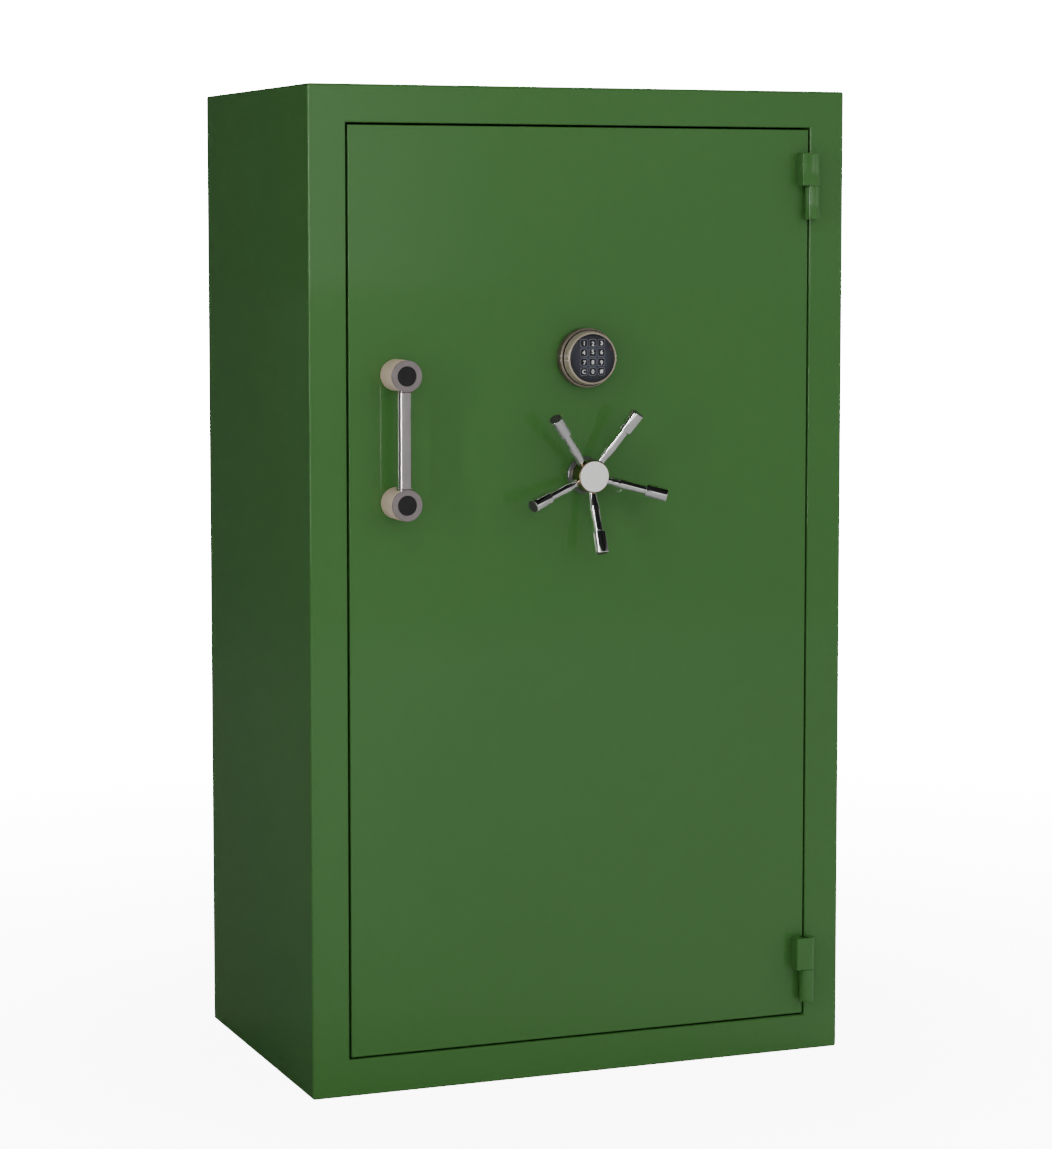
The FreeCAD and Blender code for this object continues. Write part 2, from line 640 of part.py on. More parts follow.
def boltwork_fixings():
    middle = PITCH_R + 1.25 * MODULE + RACK_BODY / 2
    blocks = [guide_block(-x, HANDLE_Z + middle, SIDE_RACK_Y, True) for x in (90, 250)]
    blocks += [guide_block(middle, z, END_RACK_Y, False) for z in (1190, 1330)]
    blocks += [guide_block(-middle, z, END_RACK_Y, False) for z in (180, 420, 740)]
    save("rack_guides", *blocks)

    # Bridge that carries the spindle's rear end, on four standoffs.
    y = (END_RACK_Y[1] + 3, END_RACK_Y[1] + 8)
    bridge = box((-66, 66), y, (HANDLE_Z - 54, HANDLE_Z + 54))
    for x in (-55, 55):
        for z in (HANDLE_Z - 42, HANDLE_Z + 42):
            bridge = bridge.fuse(rod((x, WORK_BACK, z), (x, y[0] + 1, z), 6.0))
    bore = rod((0, y[0] - 1, HANDLE_Z), (0, y[1] + 1, HANDLE_Z), SPINDLE_R + PIN_CLEAR)
    save("spindle_bridge", bridge.cut(bore).removeSplitter())
    return y[1]


def lock():
    case = box((-LOCK_W / 2, LOCK_W / 2), (WORK_BACK, WORK_BACK + LOCK_T), (LOCK_Z, LOCK_Z + LOCK_H))
    upright = edges_where(case, lambda e: e.Vertexes[0].X == e.Vertexes[1].X
                          and e.Vertexes[0].Z == e.Vertexes[1].Z)
    case = case.makeFillet(5.0, upright)
    middle = (SIDE_RACK_Y[0] + SIDE_RACK_Y[1]) / 2
    x, y = LOCK_BOLT_W / 2, LOCK_BOLT_T / 2
    clear = 0.15
    slot = box((-x - clear, x + clear), (middle - y - clear, middle + y + clear),
               (LOCK_Z - 1, LOCK_Z + LOCK_BOLT_H + 2))
    save("lock_case", case.cut(slot))
    save("lock_bolt", box((-x, x), (middle - y, middle + y), (LOCK_Z - 1, LOCK_Z - 1 + LOCK_BOLT_H)))


# ---------------------------------------------------------------- handles

def pull_handle():
    posts, caps = [], []
    low, high = POST_Z
    bar_ends = (low + POST_R - BAR_BITE, high - POST_R + BAR_BITE)
    bar = rod((POST_X, out(BAR_P), bar_ends[0]), (POST_X, out(BAR_P), bar_ends[1]), BAR_R)
    for z in POST_Z:
        post = rod((POST_X, out(0), z), (POST_X, out(POST_P), z), POST_R)
        front = edges_where(post, lambda e: e.Closed and abs(e.Curve.Center.y - out(POST_P)) < 1e-4)
        post = post.makeFillet(1.5, front)
        pocket = rod((POST_X, out(POST_P - CAP_T), z), (POST_X, out(POST_P + 1), z), CAP_R)
        posts.append(post.cut(pocket).cut(bar))
        cap = rod((POST_X, out(POST_P - CAP_T), z), (POST_X, out(POST_P - 0.8), z), CAP_R)
        rim = edges_where(cap, lambda e: e.Closed and abs(e.Curve.Center.y - out(POST_P - 0.8)) < 1e-4)
        caps.append(cap.makeFillet(0.8, rim))
    save("pull_posts", *posts)
    save("pull_caps", *caps)
    save("pull_bar", bar)


def spoke(angle):
    """Turned spoke with a waisted stem and a plain grip, leaning forwards from the hub."""
    (root_r, root_p), (tip_r, tip_p) = SPOKE_ROOT, SPOKE_TIP
    length = math.hypot(tip_r - root_r, tip_p - root_p)
    stem = [Vector(r, 0, share * length) for share, r in SPOKE_PROFILE]
    curve = Part.BSplineCurve()
    curve.interpolate(stem)
    grip_low = GRIP_START * length
    end_r = GRIP_R - GRIP_CHAMFER
    grip = ((end_r, grip_low), (GRIP_R, grip_low + GRIP_CHAMFER), (GRIP_R, length - GRIP_CHAMFER),
            (end_r, length), (0, length), (0, 0))
    corners = [stem[-1]] + [Vector(r, 0, along) for r, along in grip] + [stem[0]]
    edges = [curve.toShape()] + [Part.makeLine(a, b) for a, b in zip(corners, corners[1:])]
    face = Part.Face(Part.Wire(edges))
    shape = face.revolve(Vector(0, 0, 0), Vector(0, 0, 1), 360)
    lean = math.degrees(math.atan2(tip_p - root_p, tip_r - root_r))
    shape.rotate(Vector(0, 0, 0), Vector(1, 0, 0), lean)
    shape.translate(Vector(0, -root_p, root_r))
    shape.rotate(Vector(0, 0, 0), Vector(0, 1, 0), angle)
    shape.translate(Vector(0, FRONT, HANDLE_Z))
    return shape


def spoke_handle(bridge_back):
    recess = (16.0, 3.5)
    rosette = turned(((recess[0], 0), (ROSETTE_R, 0), (ROSETTE_R, 4.0), (24.5, ROSETTE_P),
                      (SPINDLE_R + 1, ROSETTE_P), (SPINDLE_R + 1, recess[1]), recess), HANDLE_Z)
    save("handle_rosette", rosette)
    bore, outside = SPINDLE_R + PIN_CLEAR, SPINDLE_R + BUSH_T
    bush = turned(((bore, -PLATE_T), (outside, -PLATE_T), (outside, 0), (15.0, 0), (15.0, 3.0), (bore, 3.0)),
                  HANDLE_Z)
    save("spindle_bush", bush)

    spokes = [spoke(LOWEST_SPOKE + 360 * k / SPOKES) for k in range(SPOKES)]
    low, high = HUB_P
    hub = turned(((0, low), (HUB_BACK_R, low), (HUB_R, low + 2.5), (HUB_R, high), (0, high)), HANDLE_Z)
    socket_depth = 16.0
    hub = hub.cut(rod((0, out(low - 1), HANDLE_Z), (0, out(low + socket_depth), HANDLE_Z), SPINDLE_R))
    for one in spokes:
        hub = hub.cut(one)
    save("handle_hub", hub)
    save("handle_spokes", *spokes)
    cap = turned(((0, high), (HUB_CAP_R, high), (HUB_CAP_R, HUB_CAP_P - 0.8),
                  (HUB_CAP_R - 0.8, HUB_CAP_P), (0, HUB_CAP_P)), HANDLE_Z)
    save("hub_cap", cap)

    shaft = rod((0, out(low + socket_depth), HANDLE_Z), (0, bridge_back + 4, HANDLE_Z), SPINDLE_R)
    ring = rod((0, bridge_back + 0.5, HANDLE_Z), (0, bridge_back + 2.5, HANDLE_Z), SPINDLE_R + 4)
    save("handle_spindle", shaft.fuse(ring).removeSplitter())
    save("pinion", pinion())


# ---------------------------------------------------------------- keypad

def rounded_block(x, z, size, radius, p):
    shape = box((x - size / 2, x + size / 2), (out(p[1]), out(p[0])), (z - size / 2, z + size / 2))
    upright = edges_where(shape, lambda e: abs(e.Vertexes[0].X - e.Vertexes[1].X) < 1e-6
                          and abs(e.Vertexes[0].Z - e.Vertexes[1].Z) < 1e-6)
    return shape.makeFillet(radius, upright)


def key_centres():
    for row, names in enumerate(KEY_ROWS):
        for column, name in enumerate(names):
            yield name, (column - 1) * KEY_PITCH, KEYS_CENTRE_Z + (1.5 - row) * KEY_PITCH


def keypad():
    inner = NECK_R - 3.5
    spigot_r = HOUSING_R - 3.2
    base = turned(((0, 0), (BASE_R, 0), (BASE_R, BASE_RIM_P), (BASE_SHOULDER_R, BASE_P), (NECK_R, BASE_P),
                   (NECK_R, HOUSING_BACK_P - 0.2), (spigot_r, HOUSING_BACK_P - 0.2), (spigot_r, 20.8),
                   (inner, 20.8), (inner, 2.5), (0, 2.5)), KEYPAD_Z)
    save("keypad_base", base.cut(rod((0, out(-1), LEAD_Z), (0, out(4), LEAD_Z), LEAD_HOLE_R)))

    bore = HOUSING_R - 3.0
    housing = turned(((bore, HOUSING_BACK_P), (HOUSING_R, HOUSING_BACK_P), (HOUSING_R, HOUSING_BACK_P + 1.5),
                      (HOUSING_FRONT_R, KEYPAD_P - 3.0), (HOUSING_FRONT_R - 0.8, KEYPAD_P - 0.9),
                      (FACE_R + 1.4, KEYPAD_P), (FACE_R + 0.6, KEYPAD_P),
                      (FACE_R, KEYPAD_P - 0.6), (FACE_R, FACE_P[0]), (bore, FACE_P[0])), KEYPAD_Z)
    save("keypad_housing", housing)

    face = rod((0, out(FACE_P[0]), KEYPAD_Z), (0, out(FACE_P[1]), KEYPAD_Z), FACE_R)
    for name, x, z in key_centres():
        face = face.cut(rounded_block(x, z, KEY_SIZE + 2 * KEY_GAP, KEY_R + KEY_GAP,
                                      (FACE_P[0] - 1, FACE_P[1] + 1)))
        cap = rounded_block(x, z, KEY_SIZE, KEY_R, KEY_P)
        flange = rounded_block(x, z, KEY_FLANGE, KEY_R, (KEY_P[0], KEY_P[0] + KEY_FLANGE_T))
        save(f"key_{name}", cap.fuse(flange).removeSplitter())
    save("keypad_face", face)

    board_r = bore - 1.0
    board = rod((0, out(21.0), KEYPAD_Z), (0, out(22.6), KEYPAD_Z), board_r)
    mat = rod((0, out(22.6), KEYPAD_Z), (0, out(26.5), KEYPAD_Z), board_r - 1)
    lead = rod((0, out(21.0), LEAD_Z), (0, WORK_BACK, LEAD_Z), LEAD_R)
    save("keypad_board", board, mat, lead)
    half_long, half_wide, thick = BATTERY[0] / 2, BATTERY[1] / 2, BATTERY[2]
    battery_y = (out(BATTERY_BACK_P + thick), out(BATTERY_BACK_P))
    save("keypad_battery", box((-half_long, half_long), battery_y, (KEYPAD_Z - half_wide, KEYPAD_Z + half_wide)))


def main():
    os.makedirs("parts", exist_ok=True)
    cabinet_shell()
    fire_lining()
    carpet_lining()
    interior_fittings()
    hinge_parts()
    door_leaf()
    side_boltwork()
    end_boltwork()
    bridge_back = boltwork_fixings()
    lock()
    pull_handle()
    spoke_handle(bridge_back)
    keypad()


main()
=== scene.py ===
import math

import bmesh
import bpy
from mathutils import Matrix, Vector, noise


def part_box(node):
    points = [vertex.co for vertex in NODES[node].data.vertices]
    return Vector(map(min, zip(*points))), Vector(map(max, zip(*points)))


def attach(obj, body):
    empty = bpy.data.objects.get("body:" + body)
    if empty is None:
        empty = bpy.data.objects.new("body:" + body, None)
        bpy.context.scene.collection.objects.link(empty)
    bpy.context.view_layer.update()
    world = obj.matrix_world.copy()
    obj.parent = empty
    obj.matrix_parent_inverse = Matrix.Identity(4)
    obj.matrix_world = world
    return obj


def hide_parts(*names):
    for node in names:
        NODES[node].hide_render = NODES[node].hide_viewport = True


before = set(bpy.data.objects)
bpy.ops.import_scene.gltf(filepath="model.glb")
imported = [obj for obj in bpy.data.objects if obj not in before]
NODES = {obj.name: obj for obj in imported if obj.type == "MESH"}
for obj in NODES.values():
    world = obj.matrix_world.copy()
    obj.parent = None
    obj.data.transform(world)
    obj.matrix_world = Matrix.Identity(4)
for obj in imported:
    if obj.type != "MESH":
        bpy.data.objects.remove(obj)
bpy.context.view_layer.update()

MM = 0.001
OUTWARD = Vector((0, -1, 0))              # the way the door faces
DOOR_LOW, DOOR_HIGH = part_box("door_plate")
DOOR_FACE = DOOR_LOW.y
SMOOTH_ANGLE = math.radians(32)


# ---------------------------------------------------------------- making meshes

def on_door(node):
    """Middle of a node's box, brought onto the door's face."""
    low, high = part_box(node)
    middle = (low + high) / 2
    return Vector((middle.x, DOOR_FACE, middle.z))


def piece(name, bm, body, material, replaces=()):
    """Turns a bmesh into a finished piece that rides on a body."""
    bmesh.ops.remove_doubles(bm, verts=bm.verts, dist=1e-6)
    bmesh.ops.recalc_face_normals(bm, faces=bm.faces)
    mesh = bpy.data.meshes.new(name)
    bm.to_mesh(mesh)
    bm.free()
    mesh.shade_smooth()
    mesh.set_sharp_from_angle(angle=SMOOTH_ANGLE)
    obj = bpy.data.objects.new(name, mesh)
    bpy.context.scene.collection.objects.link(obj)
    mesh.materials.append(material)
    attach(obj, body)
    if replaces:
        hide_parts(*replaces)
    return obj


def cut_out(obj, bm):
    """Cuts a closed shape out of a piece."""
    bmesh.ops.recalc_face_normals(bm, faces=bm.faces)
    mesh = bpy.data.meshes.new("cutter")
    bm.to_mesh(mesh)
    bm.free()
    cutter = bpy.data.objects.new("cutter", mesh)
    bpy.context.scene.collection.objects.link(cutter)
    cut = obj.modifiers.new("cut", "BOOLEAN")
    cut.operation = "DIFFERENCE"
    cut.solver = "EXACT"
    cut.object = cutter
    bpy.context.view_layer.update()
    shape = obj.evaluated_get(bpy.context.evaluated_depsgraph_get())
    result = bpy.data.meshes.new_from_object(shape)
    obj.modifiers.clear()
    obj.data = result
    result.set_sharp_from_angle(angle=SMOOTH_ANGLE)
    bpy.data.objects.remove(cutter)


def add_turned(bm, profile, centre, axis=OUTWARD, steps=96):
    """Adds a shape turned about an axis, from (radius, height) corners in millimetres."""
    turn = Vector((0, 0, 1)).rotation_difference(axis).to_matrix().to_4x4()
    place = Matrix.Translation(centre) @ turn
    rim = [bm.verts.new(place @ Vector((r * MM, 0, h * MM))) for r, h in profile]
    edges = [bm.edges.new(pair) for pair in zip(rim, rim[1:])]
    bmesh.ops.spin(bm, geom=rim + edges, cent=centre, axis=axis, angle=math.tau,
                   steps=steps, use_merge=True, use_duplicate=False)
    bmesh.ops.remove_doubles(bm, verts=bm.verts, dist=1e-6)


def arc(cx, cy, radius, start, end, steps=6):
    """Profile points round part of a circle, angles in degrees from the outward direction."""
    turns = [math.radians(start + (end - start) * i / steps) for i in range(steps + 1)]
    return [(cx + radius * math.cos(t), cy + radius * math.sin(t)) for t in turns]


def add_block(bm, low, high, bevel=0.0, segments=3):
    """Adds a box between two corners, in metres, with every edge rounded."""
    made = bmesh.ops.create_cube(bm, size=1.0)["verts"]
    size = high - low
    bmesh.ops.scale(bm, vec=size, verts=made)
    bmesh.ops.translate(bm, vec=(low + high) / 2, verts=made)
    if bevel:
        edges = list({e for v in made for e in v.link_edges})
        made = bmesh.ops.bevel(bm, geom=edges, offset=bevel, offset_type="OFFSET", segments=segments,
                               profile=0.5, affect="EDGES", material=-1, clamp_overlap=True)["verts"]
    return made


def add_round_square(bm, centre, size, corner, back, front, edge=0.0):
    """Adds a block with rounded corners, its face towards the viewer of the door."""
    half = size / 2
    low = Vector((centre.x - half, DOOR_FACE - front, centre.z - half))
    high = Vector((centre.x + half, DOOR_FACE - back, centre.z + half))
    made = bmesh.ops.create_cube(bm, size=1.0)["verts"]
    bmesh.ops.scale(bm, vec=high - low, verts=made)
    bmesh.ops.translate(bm, vec=(low + high) / 2, verts=made)
    along = [e for e in {e for v in made for e in v.link_edges}
             if abs(e.verts[0].co.y - e.verts[1].co.y) > 1e-6]
    rounded = bmesh.ops.bevel(bm, geom=along, offset=corner, offset_type="OFFSET", segments=6,
                              profile=0.5, affect="EDGES", material=-1, clamp_overlap=True)["verts"]
    if edge:
        rim = [e for e in {e for v in rounded for e in v.link_edges}
               if all(abs(v.co.y - low.y) < 1e-6 for v in e.verts)]
        bmesh.ops.bevel(bm, geom=rim, offset=edge, offset_type="OFFSET", segments=3,
                        profile=0.5, affect="EDGES", material=-1, clamp_overlap=True)


# ---------------------------------------------------------------- materials

class Finish:
    """A node material: Principled constants, with patterns in millimetres on Object coordinates."""

    def __init__(self, name, color, **constants):
        self.material = bpy.data.materials.new(name)
        self.material.use_nodes = True
        self.tree = self.material.node_tree
        self.shader = self.tree.nodes["Principled BSDF"]
        self.shader.inputs["Base Color"].default_value = (*color, 1)
        self.color = color
        for socket, value in constants.items():
            self.shader.inputs[socket.replace("_", " ")].default_value = value
        self.coords = self.add("ShaderNodeTexCoord").outputs["Object"]
        self.height = None

    def add(self, kind, **values):
        node = self.tree.nodes.new(kind)
        for key, value in values.items():
            if key in node.inputs:
                node.inputs[key].default_value = value
            else:
                setattr(node, key, value)
        return node

    def link(self, start, end):
        self.tree.links.new(start, end)
        return self

    def stretched(self, stretch):
        """Object coordinates in millimetres, drawn out along an axis for brushed or fibrous looks."""
        mapping = self.add("ShaderNodeMapping")
        mapping.inputs["Scale"].default_value = [1000 / s for s in stretch]
        self.link(self.coords, mapping.inputs["Vector"])
        return mapping.outputs["Vector"]

    def noise(self, size_mm, detail=3.0, roughness=0.5, stretch=(1, 1, 1)):
        """Noise whose features are about size_mm across."""
        node = self.add("ShaderNodeTexNoise", Scale=1.0, Detail=detail, Roughness=roughness)
        self.link(self.stretched([size_mm * s for s in stretch]), node.inputs["Vector"])
        return node.outputs["Fac"]

    def cells(self, size_mm):
        node = self.add("ShaderNodeTexVoronoi", Scale=1.0)
        self.link(self.stretched([size_mm] * 3), node.inputs["Vector"])
        return node.outputs["Distance"]

    def ramp(self, value, low, high, start=0.2, end=0.8):
        """Remaps a pattern to the range from low to high."""
        node = self.add("ShaderNodeMapRange")
        for key, number in (("From Min", start), ("From Max", end), ("To Min", low), ("To Max", high)):
            node.inputs[key].default_value = number
        self.link(value, node.inputs["Value"])
        return node.outputs["Result"]

    def tint(self, value, dark, light, start=0.35, end=0.65):
        """Base colour runs between dark and light shares of the finish's colour."""
        node = self.add("ShaderNodeValToRGB")
        node.color_ramp.elements[0].position = start
        node.color_ramp.elements[1].position = end
        node.color_ramp.elements[0].color = (*[c * dark for c in self.color], 1)
        node.color_ramp.elements[1].color = (*[c * light for c in self.color], 1)
        self.link(value, node.inputs["Fac"])
        return self.link(node.outputs["Color"], self.shader.inputs["Base Color"])

    def rough(self, value, low, high):
        return self.link(self.ramp(value, low, high), self.shader.inputs["Roughness"])

    def bump(self, value, height_mm, strength=1.0):
        """Adds relief of a real height. Calls stack up."""
        node = self.add("ShaderNodeBump", Strength=strength, Distance=height_mm * MM)
        self.link(value, node.inputs["Height"])
        if self.height:
            self.link(self.height, node.inputs["Normal"])
        self.height = node.outputs["Normal"]
        return self.link(self.height, self.shader.inputs["Normal"])


def paint_finish(name, color, roughness, peel=0.03):
    """Sprayed enamel: orange peel, faint drift in colour and gloss."""
    f = Finish(name, color, Coat_Weight=0.8, Coat_Roughness=0.05, Specular_IOR_Level=0.1)
    f.tint(f.noise(420, 1), 0.97, 1.03, 0.2, 0.8)
    f.rough(f.noise(180, 1), roughness - 0.02, roughness + 0.03)
    f.bump(f.noise(3.0, 1), peel, 0.5)
    f.bump(f.noise(0.6, 1), peel * 0.12, 0.4)
    return f.material


def metal_finish(name, color, roughness, grain, mottle, scratch, metallic=1.0):
    """Metal, with its grain given as a stretch of the scratches. Blasted finishes are less metallic; the
    pull posts' sleeves are made less metallic so that their pale base colour paints in a reflection.
    """
    f = Finish(name, color, Metallic=metallic)
    f.tint(f.noise(14, 4), 1 - mottle, 1 + mottle)
    f.rough(f.noise(3, 3, stretch=grain), roughness * 0.75, roughness * 1.3)
    f.bump(f.noise(0.25, 2, stretch=grain), scratch, 0.6)
    return f.material


def carpet_finish(name, color, pile_mm):
    """Short looped pile: fleck in the colour, loops in relief and a soft sheen."""
    f = Finish(name, color, Sheen_Weight=0.35, Sheen_Roughness=0.5, Specular_IOR_Level=0.15)
    f.tint(f.noise(1.3, 4, 0.7), 0.55, 1.5, 0.3, 0.7)
    f.rough(f.noise(6, 2), 0.88, 0.98)
    f.bump(f.noise(22, 3), pile_mm * 0.5, 0.5)
    f.bump(f.cells(1.5), pile_mm, 0.8)
    f.bump(f.noise(0.45, 3, 0.7), pile_mm * 0.6, 0.8)
    return f.material


def plastic_finish(name, color, roughness, texture_mm, coat=0.0):
    """Moulded plastic or rubber with a fine spark-eroded texture."""
    f = Finish(name, color, Coat_Weight=coat, Coat_Roughness=0.06)
    f.tint(f.noise(9, 3), 0.85, 1.15)
    f.rough(f.noise(4, 3), roughness * 0.85, roughness * 1.15)
    f.bump(f.noise(0.4, 2), texture_mm, 0.5)
    return f.material


def face_finish():
    """Gloss black whose base colour lightens to slate in the middle: a painted reflection."""
    f = Finish("black_face", (0.060, 0.068, 0.095), Coat_Weight=0.4, Coat_Roughness=0.06)
    place = f.add("ShaderNodeVectorMath", operation="DISTANCE")
    place.inputs[1].default_value = on_door("keypad_face")
    f.link(f.coords, place.inputs[0])
    # painted reflection: base colour is slate within 30 mm of the face's middle, near black beyond 50 mm
    f.tint(place.outputs["Value"], 1.0, 0.06, 0.030, 0.050)
    f.rough(f.noise(4, 3), 0.16, 0.26)
    f.bump(f.noise(0.4, 2), 0.002, 0.5)
    return f.material


def fabric_finish(name, color):
    """Closely woven cloth: crossing threads in relief, fleck in the colour, soft sheen."""
    f = Finish(name, color, Sheen_Weight=0.25, Sheen_Roughness=0.5, Specular_IOR_Level=0.2)
    f.tint(f.noise(0.9, 4, 0.7), 0.7, 1.3, 0.3, 0.7)
    f.rough(f.noise(5, 2), 0.85, 0.95)
    f.bump(f.noise(14, 3), 0.35, 0.4)
    f.bump(f.noise(0.7, 1, stretch=(1, 1, 5)), 0.16, 0.7)
    f.bump(f.noise(0.7, 1, stretch=(5, 1, 1)), 0.16, 0.7)
    return f.material


def board_finish(name, color):
    """Paper-faced plasterboard."""
    f = Finish(name, color, Specular_IOR_Level=0.2)
    f.tint(f.noise(1.0, 5, 0.7), 0.85, 1.1, 0.3, 0.7)
    f.rough(f.noise(8, 2), 0.85, 0.95)
    f.bump(f.noise(0.8, 4, 0.7), 0.12, 0.8)
    return f.material


def make_finishes():
    fine = (1, 1, 1)
    return {
        "paint": paint_finish("green_enamel", (0.053, 0.162, 0.037), 0.36),
        "black_paint": paint_finish("black_powder_coat", (0.018, 0.018, 0.019), 0.45, 0.06),
        "chrome": metal_finish("polished_chrome", (0.86, 0.85, 0.85), 0.07, fine, 0.02, 0.0006),
        "bar_chrome": metal_finish("worn_chrome", (0.88, 0.83, 0.83), 0.10, (1, 1, 14), 0.03, 0.001),
        "bolt_steel": metal_finish("ground_bolt_steel", (0.62, 0.62, 0.63), 0.14, (16, 1, 1), 0.04, 0.0015),
        "zinc": metal_finish("zinc_plate", (0.50, 0.51, 0.50), 0.34, (4, 4, 4), 0.10, 0.004),
        # painted reflection: pale beige base colour at low metallic stands in for a warm reflection on the
        # sleeves
        "nickel": metal_finish("satin_nickel", (0.84, 0.635, 0.51), 0.38, (1, 12, 1), 0.04, 0.003, 0.12),
        "tan_nickel": metal_finish("tan_nickel", (0.52, 0.44, 0.345), 0.34, fine, 0.05, 0.003, 0.3),
        # darker copies of the nickel for the keypad's base shoulder, base rim and the bar's collars
        "shoulder": metal_finish("dim_shoulder", (0.30, 0.25, 0.20), 0.30, fine, 0.10, 0.003, 0.5),
        "dark_nickel": metal_finish("dark_nickel", (0.17, 0.135, 0.105), 0.34, fine, 0.15, 0.004, 0.5),
        "mauve_nickel": metal_finish("faced_nickel", (0.28, 0.24, 0.242), 0.42, fine, 0.05, 0.004, 0.4),
        "pale_cap": metal_finish("satin_silver", (0.97, 0.96, 0.94), 0.42, fine, 0.02, 0.002, 0.05),
        # painted reflection: near-black steel for the discs on the spoke ends
        "end_steel": metal_finish("dark_reflection_steel", (0.085, 0.082, 0.080), 0.35, fine, 0.1, 0.004, 0.5),
        "dark_metal": metal_finish("oiled_steel", (0.22, 0.22, 0.215), 0.30, fine, 0.12, 0.006, 0.7),
        "hub_bronze": metal_finish("hub_bronze", (0.36, 0.27, 0.15), 0.16, fine, 0.06, 0.002),
        "brass": metal_finish("turned_brass", (0.75, 0.56, 0.27), 0.22, fine, 0.05, 0.002),
        "gypsum": board_finish("plasterboard", (0.55, 0.50, 0.43)),
        "carpet": carpet_finish("grey_carpet", (0.10, 0.098, 0.095), 0.5),
        "face": face_finish(),
        "upholstery": fabric_finish("grey_upholstery", (0.085, 0.083, 0.082)),
        "thread": fabric_finish("grey_thread", (0.30, 0.29, 0.28)),
        "key": plastic_finish("key_rubber", (0.012, 0.012, 0.013), 0.38, 0.006),
        "plug": plastic_finish("black_plug", (0.010, 0.009, 0.011), 0.42, 0.01),
        "seal": plastic_finish("seal_rubber", (0.02, 0.02, 0.02), 0.7, 0.02),
        "ink": plastic_finish("white_ink", (0.80, 0.81, 0.84), 0.5, 0.002),
        "grey_ink": plastic_finish("grey_ink", (0.20, 0.21, 0.25), 0.5, 0.002),
        "lamp": plastic_finish("red_lens", (0.25, 0.012, 0.012), 0.15, 0.001, 0.5),
        "board": plastic_finish("circuit_board", (0.015, 0.10, 0.04), 0.4, 0.01),
        "battery": plastic_finish("battery_shell", (0.04, 0.04, 0.05), 0.3, 0.003),
    }


def coat_cad_nodes(finishes):
    """Gives every node of the frame its own finish."""
    groups = {
        "paint": ("front_frame", "side_panels", "top_panel", "bottom_panel", "rear_panel", "door_plate",
                  "door_knuckles", "body_knuckles", "hinge_pins"),
        "black_paint": ("jamb_liner", "door_pan", "lock_case", "spindle_bridge", "shelf_standards"),
        "chrome": ("handle_spokes",),
        "bar_chrome": ("pull_bar",),
        "bolt_steel": ("side_bolts", "top_bolts", "bottom_bolts", "dead_bolts"),
        "zinc": ("boltwork_plate", "bolt_guide_bars", "side_bolt_bar", "top_bolt_bar", "bottom_bolt_bar",
                 "rack_guides", "panel_screws", "lock_bolt", "handle_spindle", "pinion"),
        "nickel": ("keypad_base", "keypad_housing", "pull_posts"),
        "pale_cap": ("hub_cap",),
        "dark_metal": ("handle_rosette",),
        "hub_bronze": ("handle_hub",),
        "brass": ("spindle_bush",),
        "gypsum": ("fireboard_lining", "door_fireboard"),
        "carpet": ("carpet_panels", "center_divider", "shelves", "barrel_rest", "door_back_panel"),
        "face": ("keypad_face",),
        "plug": ("pull_caps",),
        "board": ("keypad_board",),
        "battery": ("keypad_battery",),
        "key": KEYS,
    }
    for finish, names in groups.items():
        for name in names:
            slots = NODES[name].data.materials
            slots.clear()
            slots.append(finishes[finish])


# ---------------------------------------------------------------- door furniture

KEYS = [n for n in NODES if n.startswith("key_")]
KEY_CAP = 9.8 * MM
KEY_SIGNS = {"clear": "C", "enter": "#"}
RIDGES = 132                              # round the rim of the keypad's base
RIDGE_DEPTH = 0.35
SPOKE_COUNT = 5
LOWEST_SPOKE = math.radians(177.5)
SPOKE_ROOT = Vector((0, -26.0, 14.0)) * MM
SPOKE_TIP = Vector((0, -60.0, 114.5)) * MM
PIN_SPLIT = 40.0 * MM                     # from the foot of a hinge pin to where its knuckles meet
LEAF_START = 4.5 * MM                     # from the pin's axis to the edge of the frame's leaf


def keypad_base(finishes):
    """Screwed-on base: a ridged rim, a smooth shoulder and a neck that the housing clips over, made black
    as painted shade in the groove.
    """
    at = on_door("keypad_base")
    bm = bmesh.new()
    rim = [(43.0, 0.0), (44.6, 0.0), (45.0, 0.6), (45.0, 11.6), (44.7, 12.2)]
    add_turned(bm, rim, at, steps=RIDGES * 2)
    for v in bm.verts:
        away = v.co - at
        height = away.dot(OUTWARD) / MM
        turn = math.atan2(away.z, away.x) * RIDGES / math.tau
        if 0.3 < height < 12.0 and turn % 1.0 > 0.5:
            v.co -= (away - OUTWARD * away.dot(OUTWARD)).normalized() * RIDGE_DEPTH * MM
    piece("keypad_base_rim", bm, "door", finishes["dark_nickel"])

    bm = bmesh.new()
    shoulder = [(44.3, 12.0), (44.75, 12.2), (44.8, 12.8)] + arc(43.2, 14.6, 1.6, -10, 60)
    add_turned(bm, shoulder + [(42.9, 16.9), (42.4, 17.0), (42.2, 16.6)], at)
    piece("keypad_base_shoulder", bm, "door", finishes["shoulder"], ["keypad_base"])

    # painted shade: the neck is black plastic to darken the groove between base and housing
    bm = bmesh.new()
    add_turned(bm, [(42.3, 16.4), (42.3, 16.7), (39.0, 16.8), (38.5, 17.2), (38.5, 19.3)], at)
    piece("keypad_neck", bm, "door", finishes["plug"])


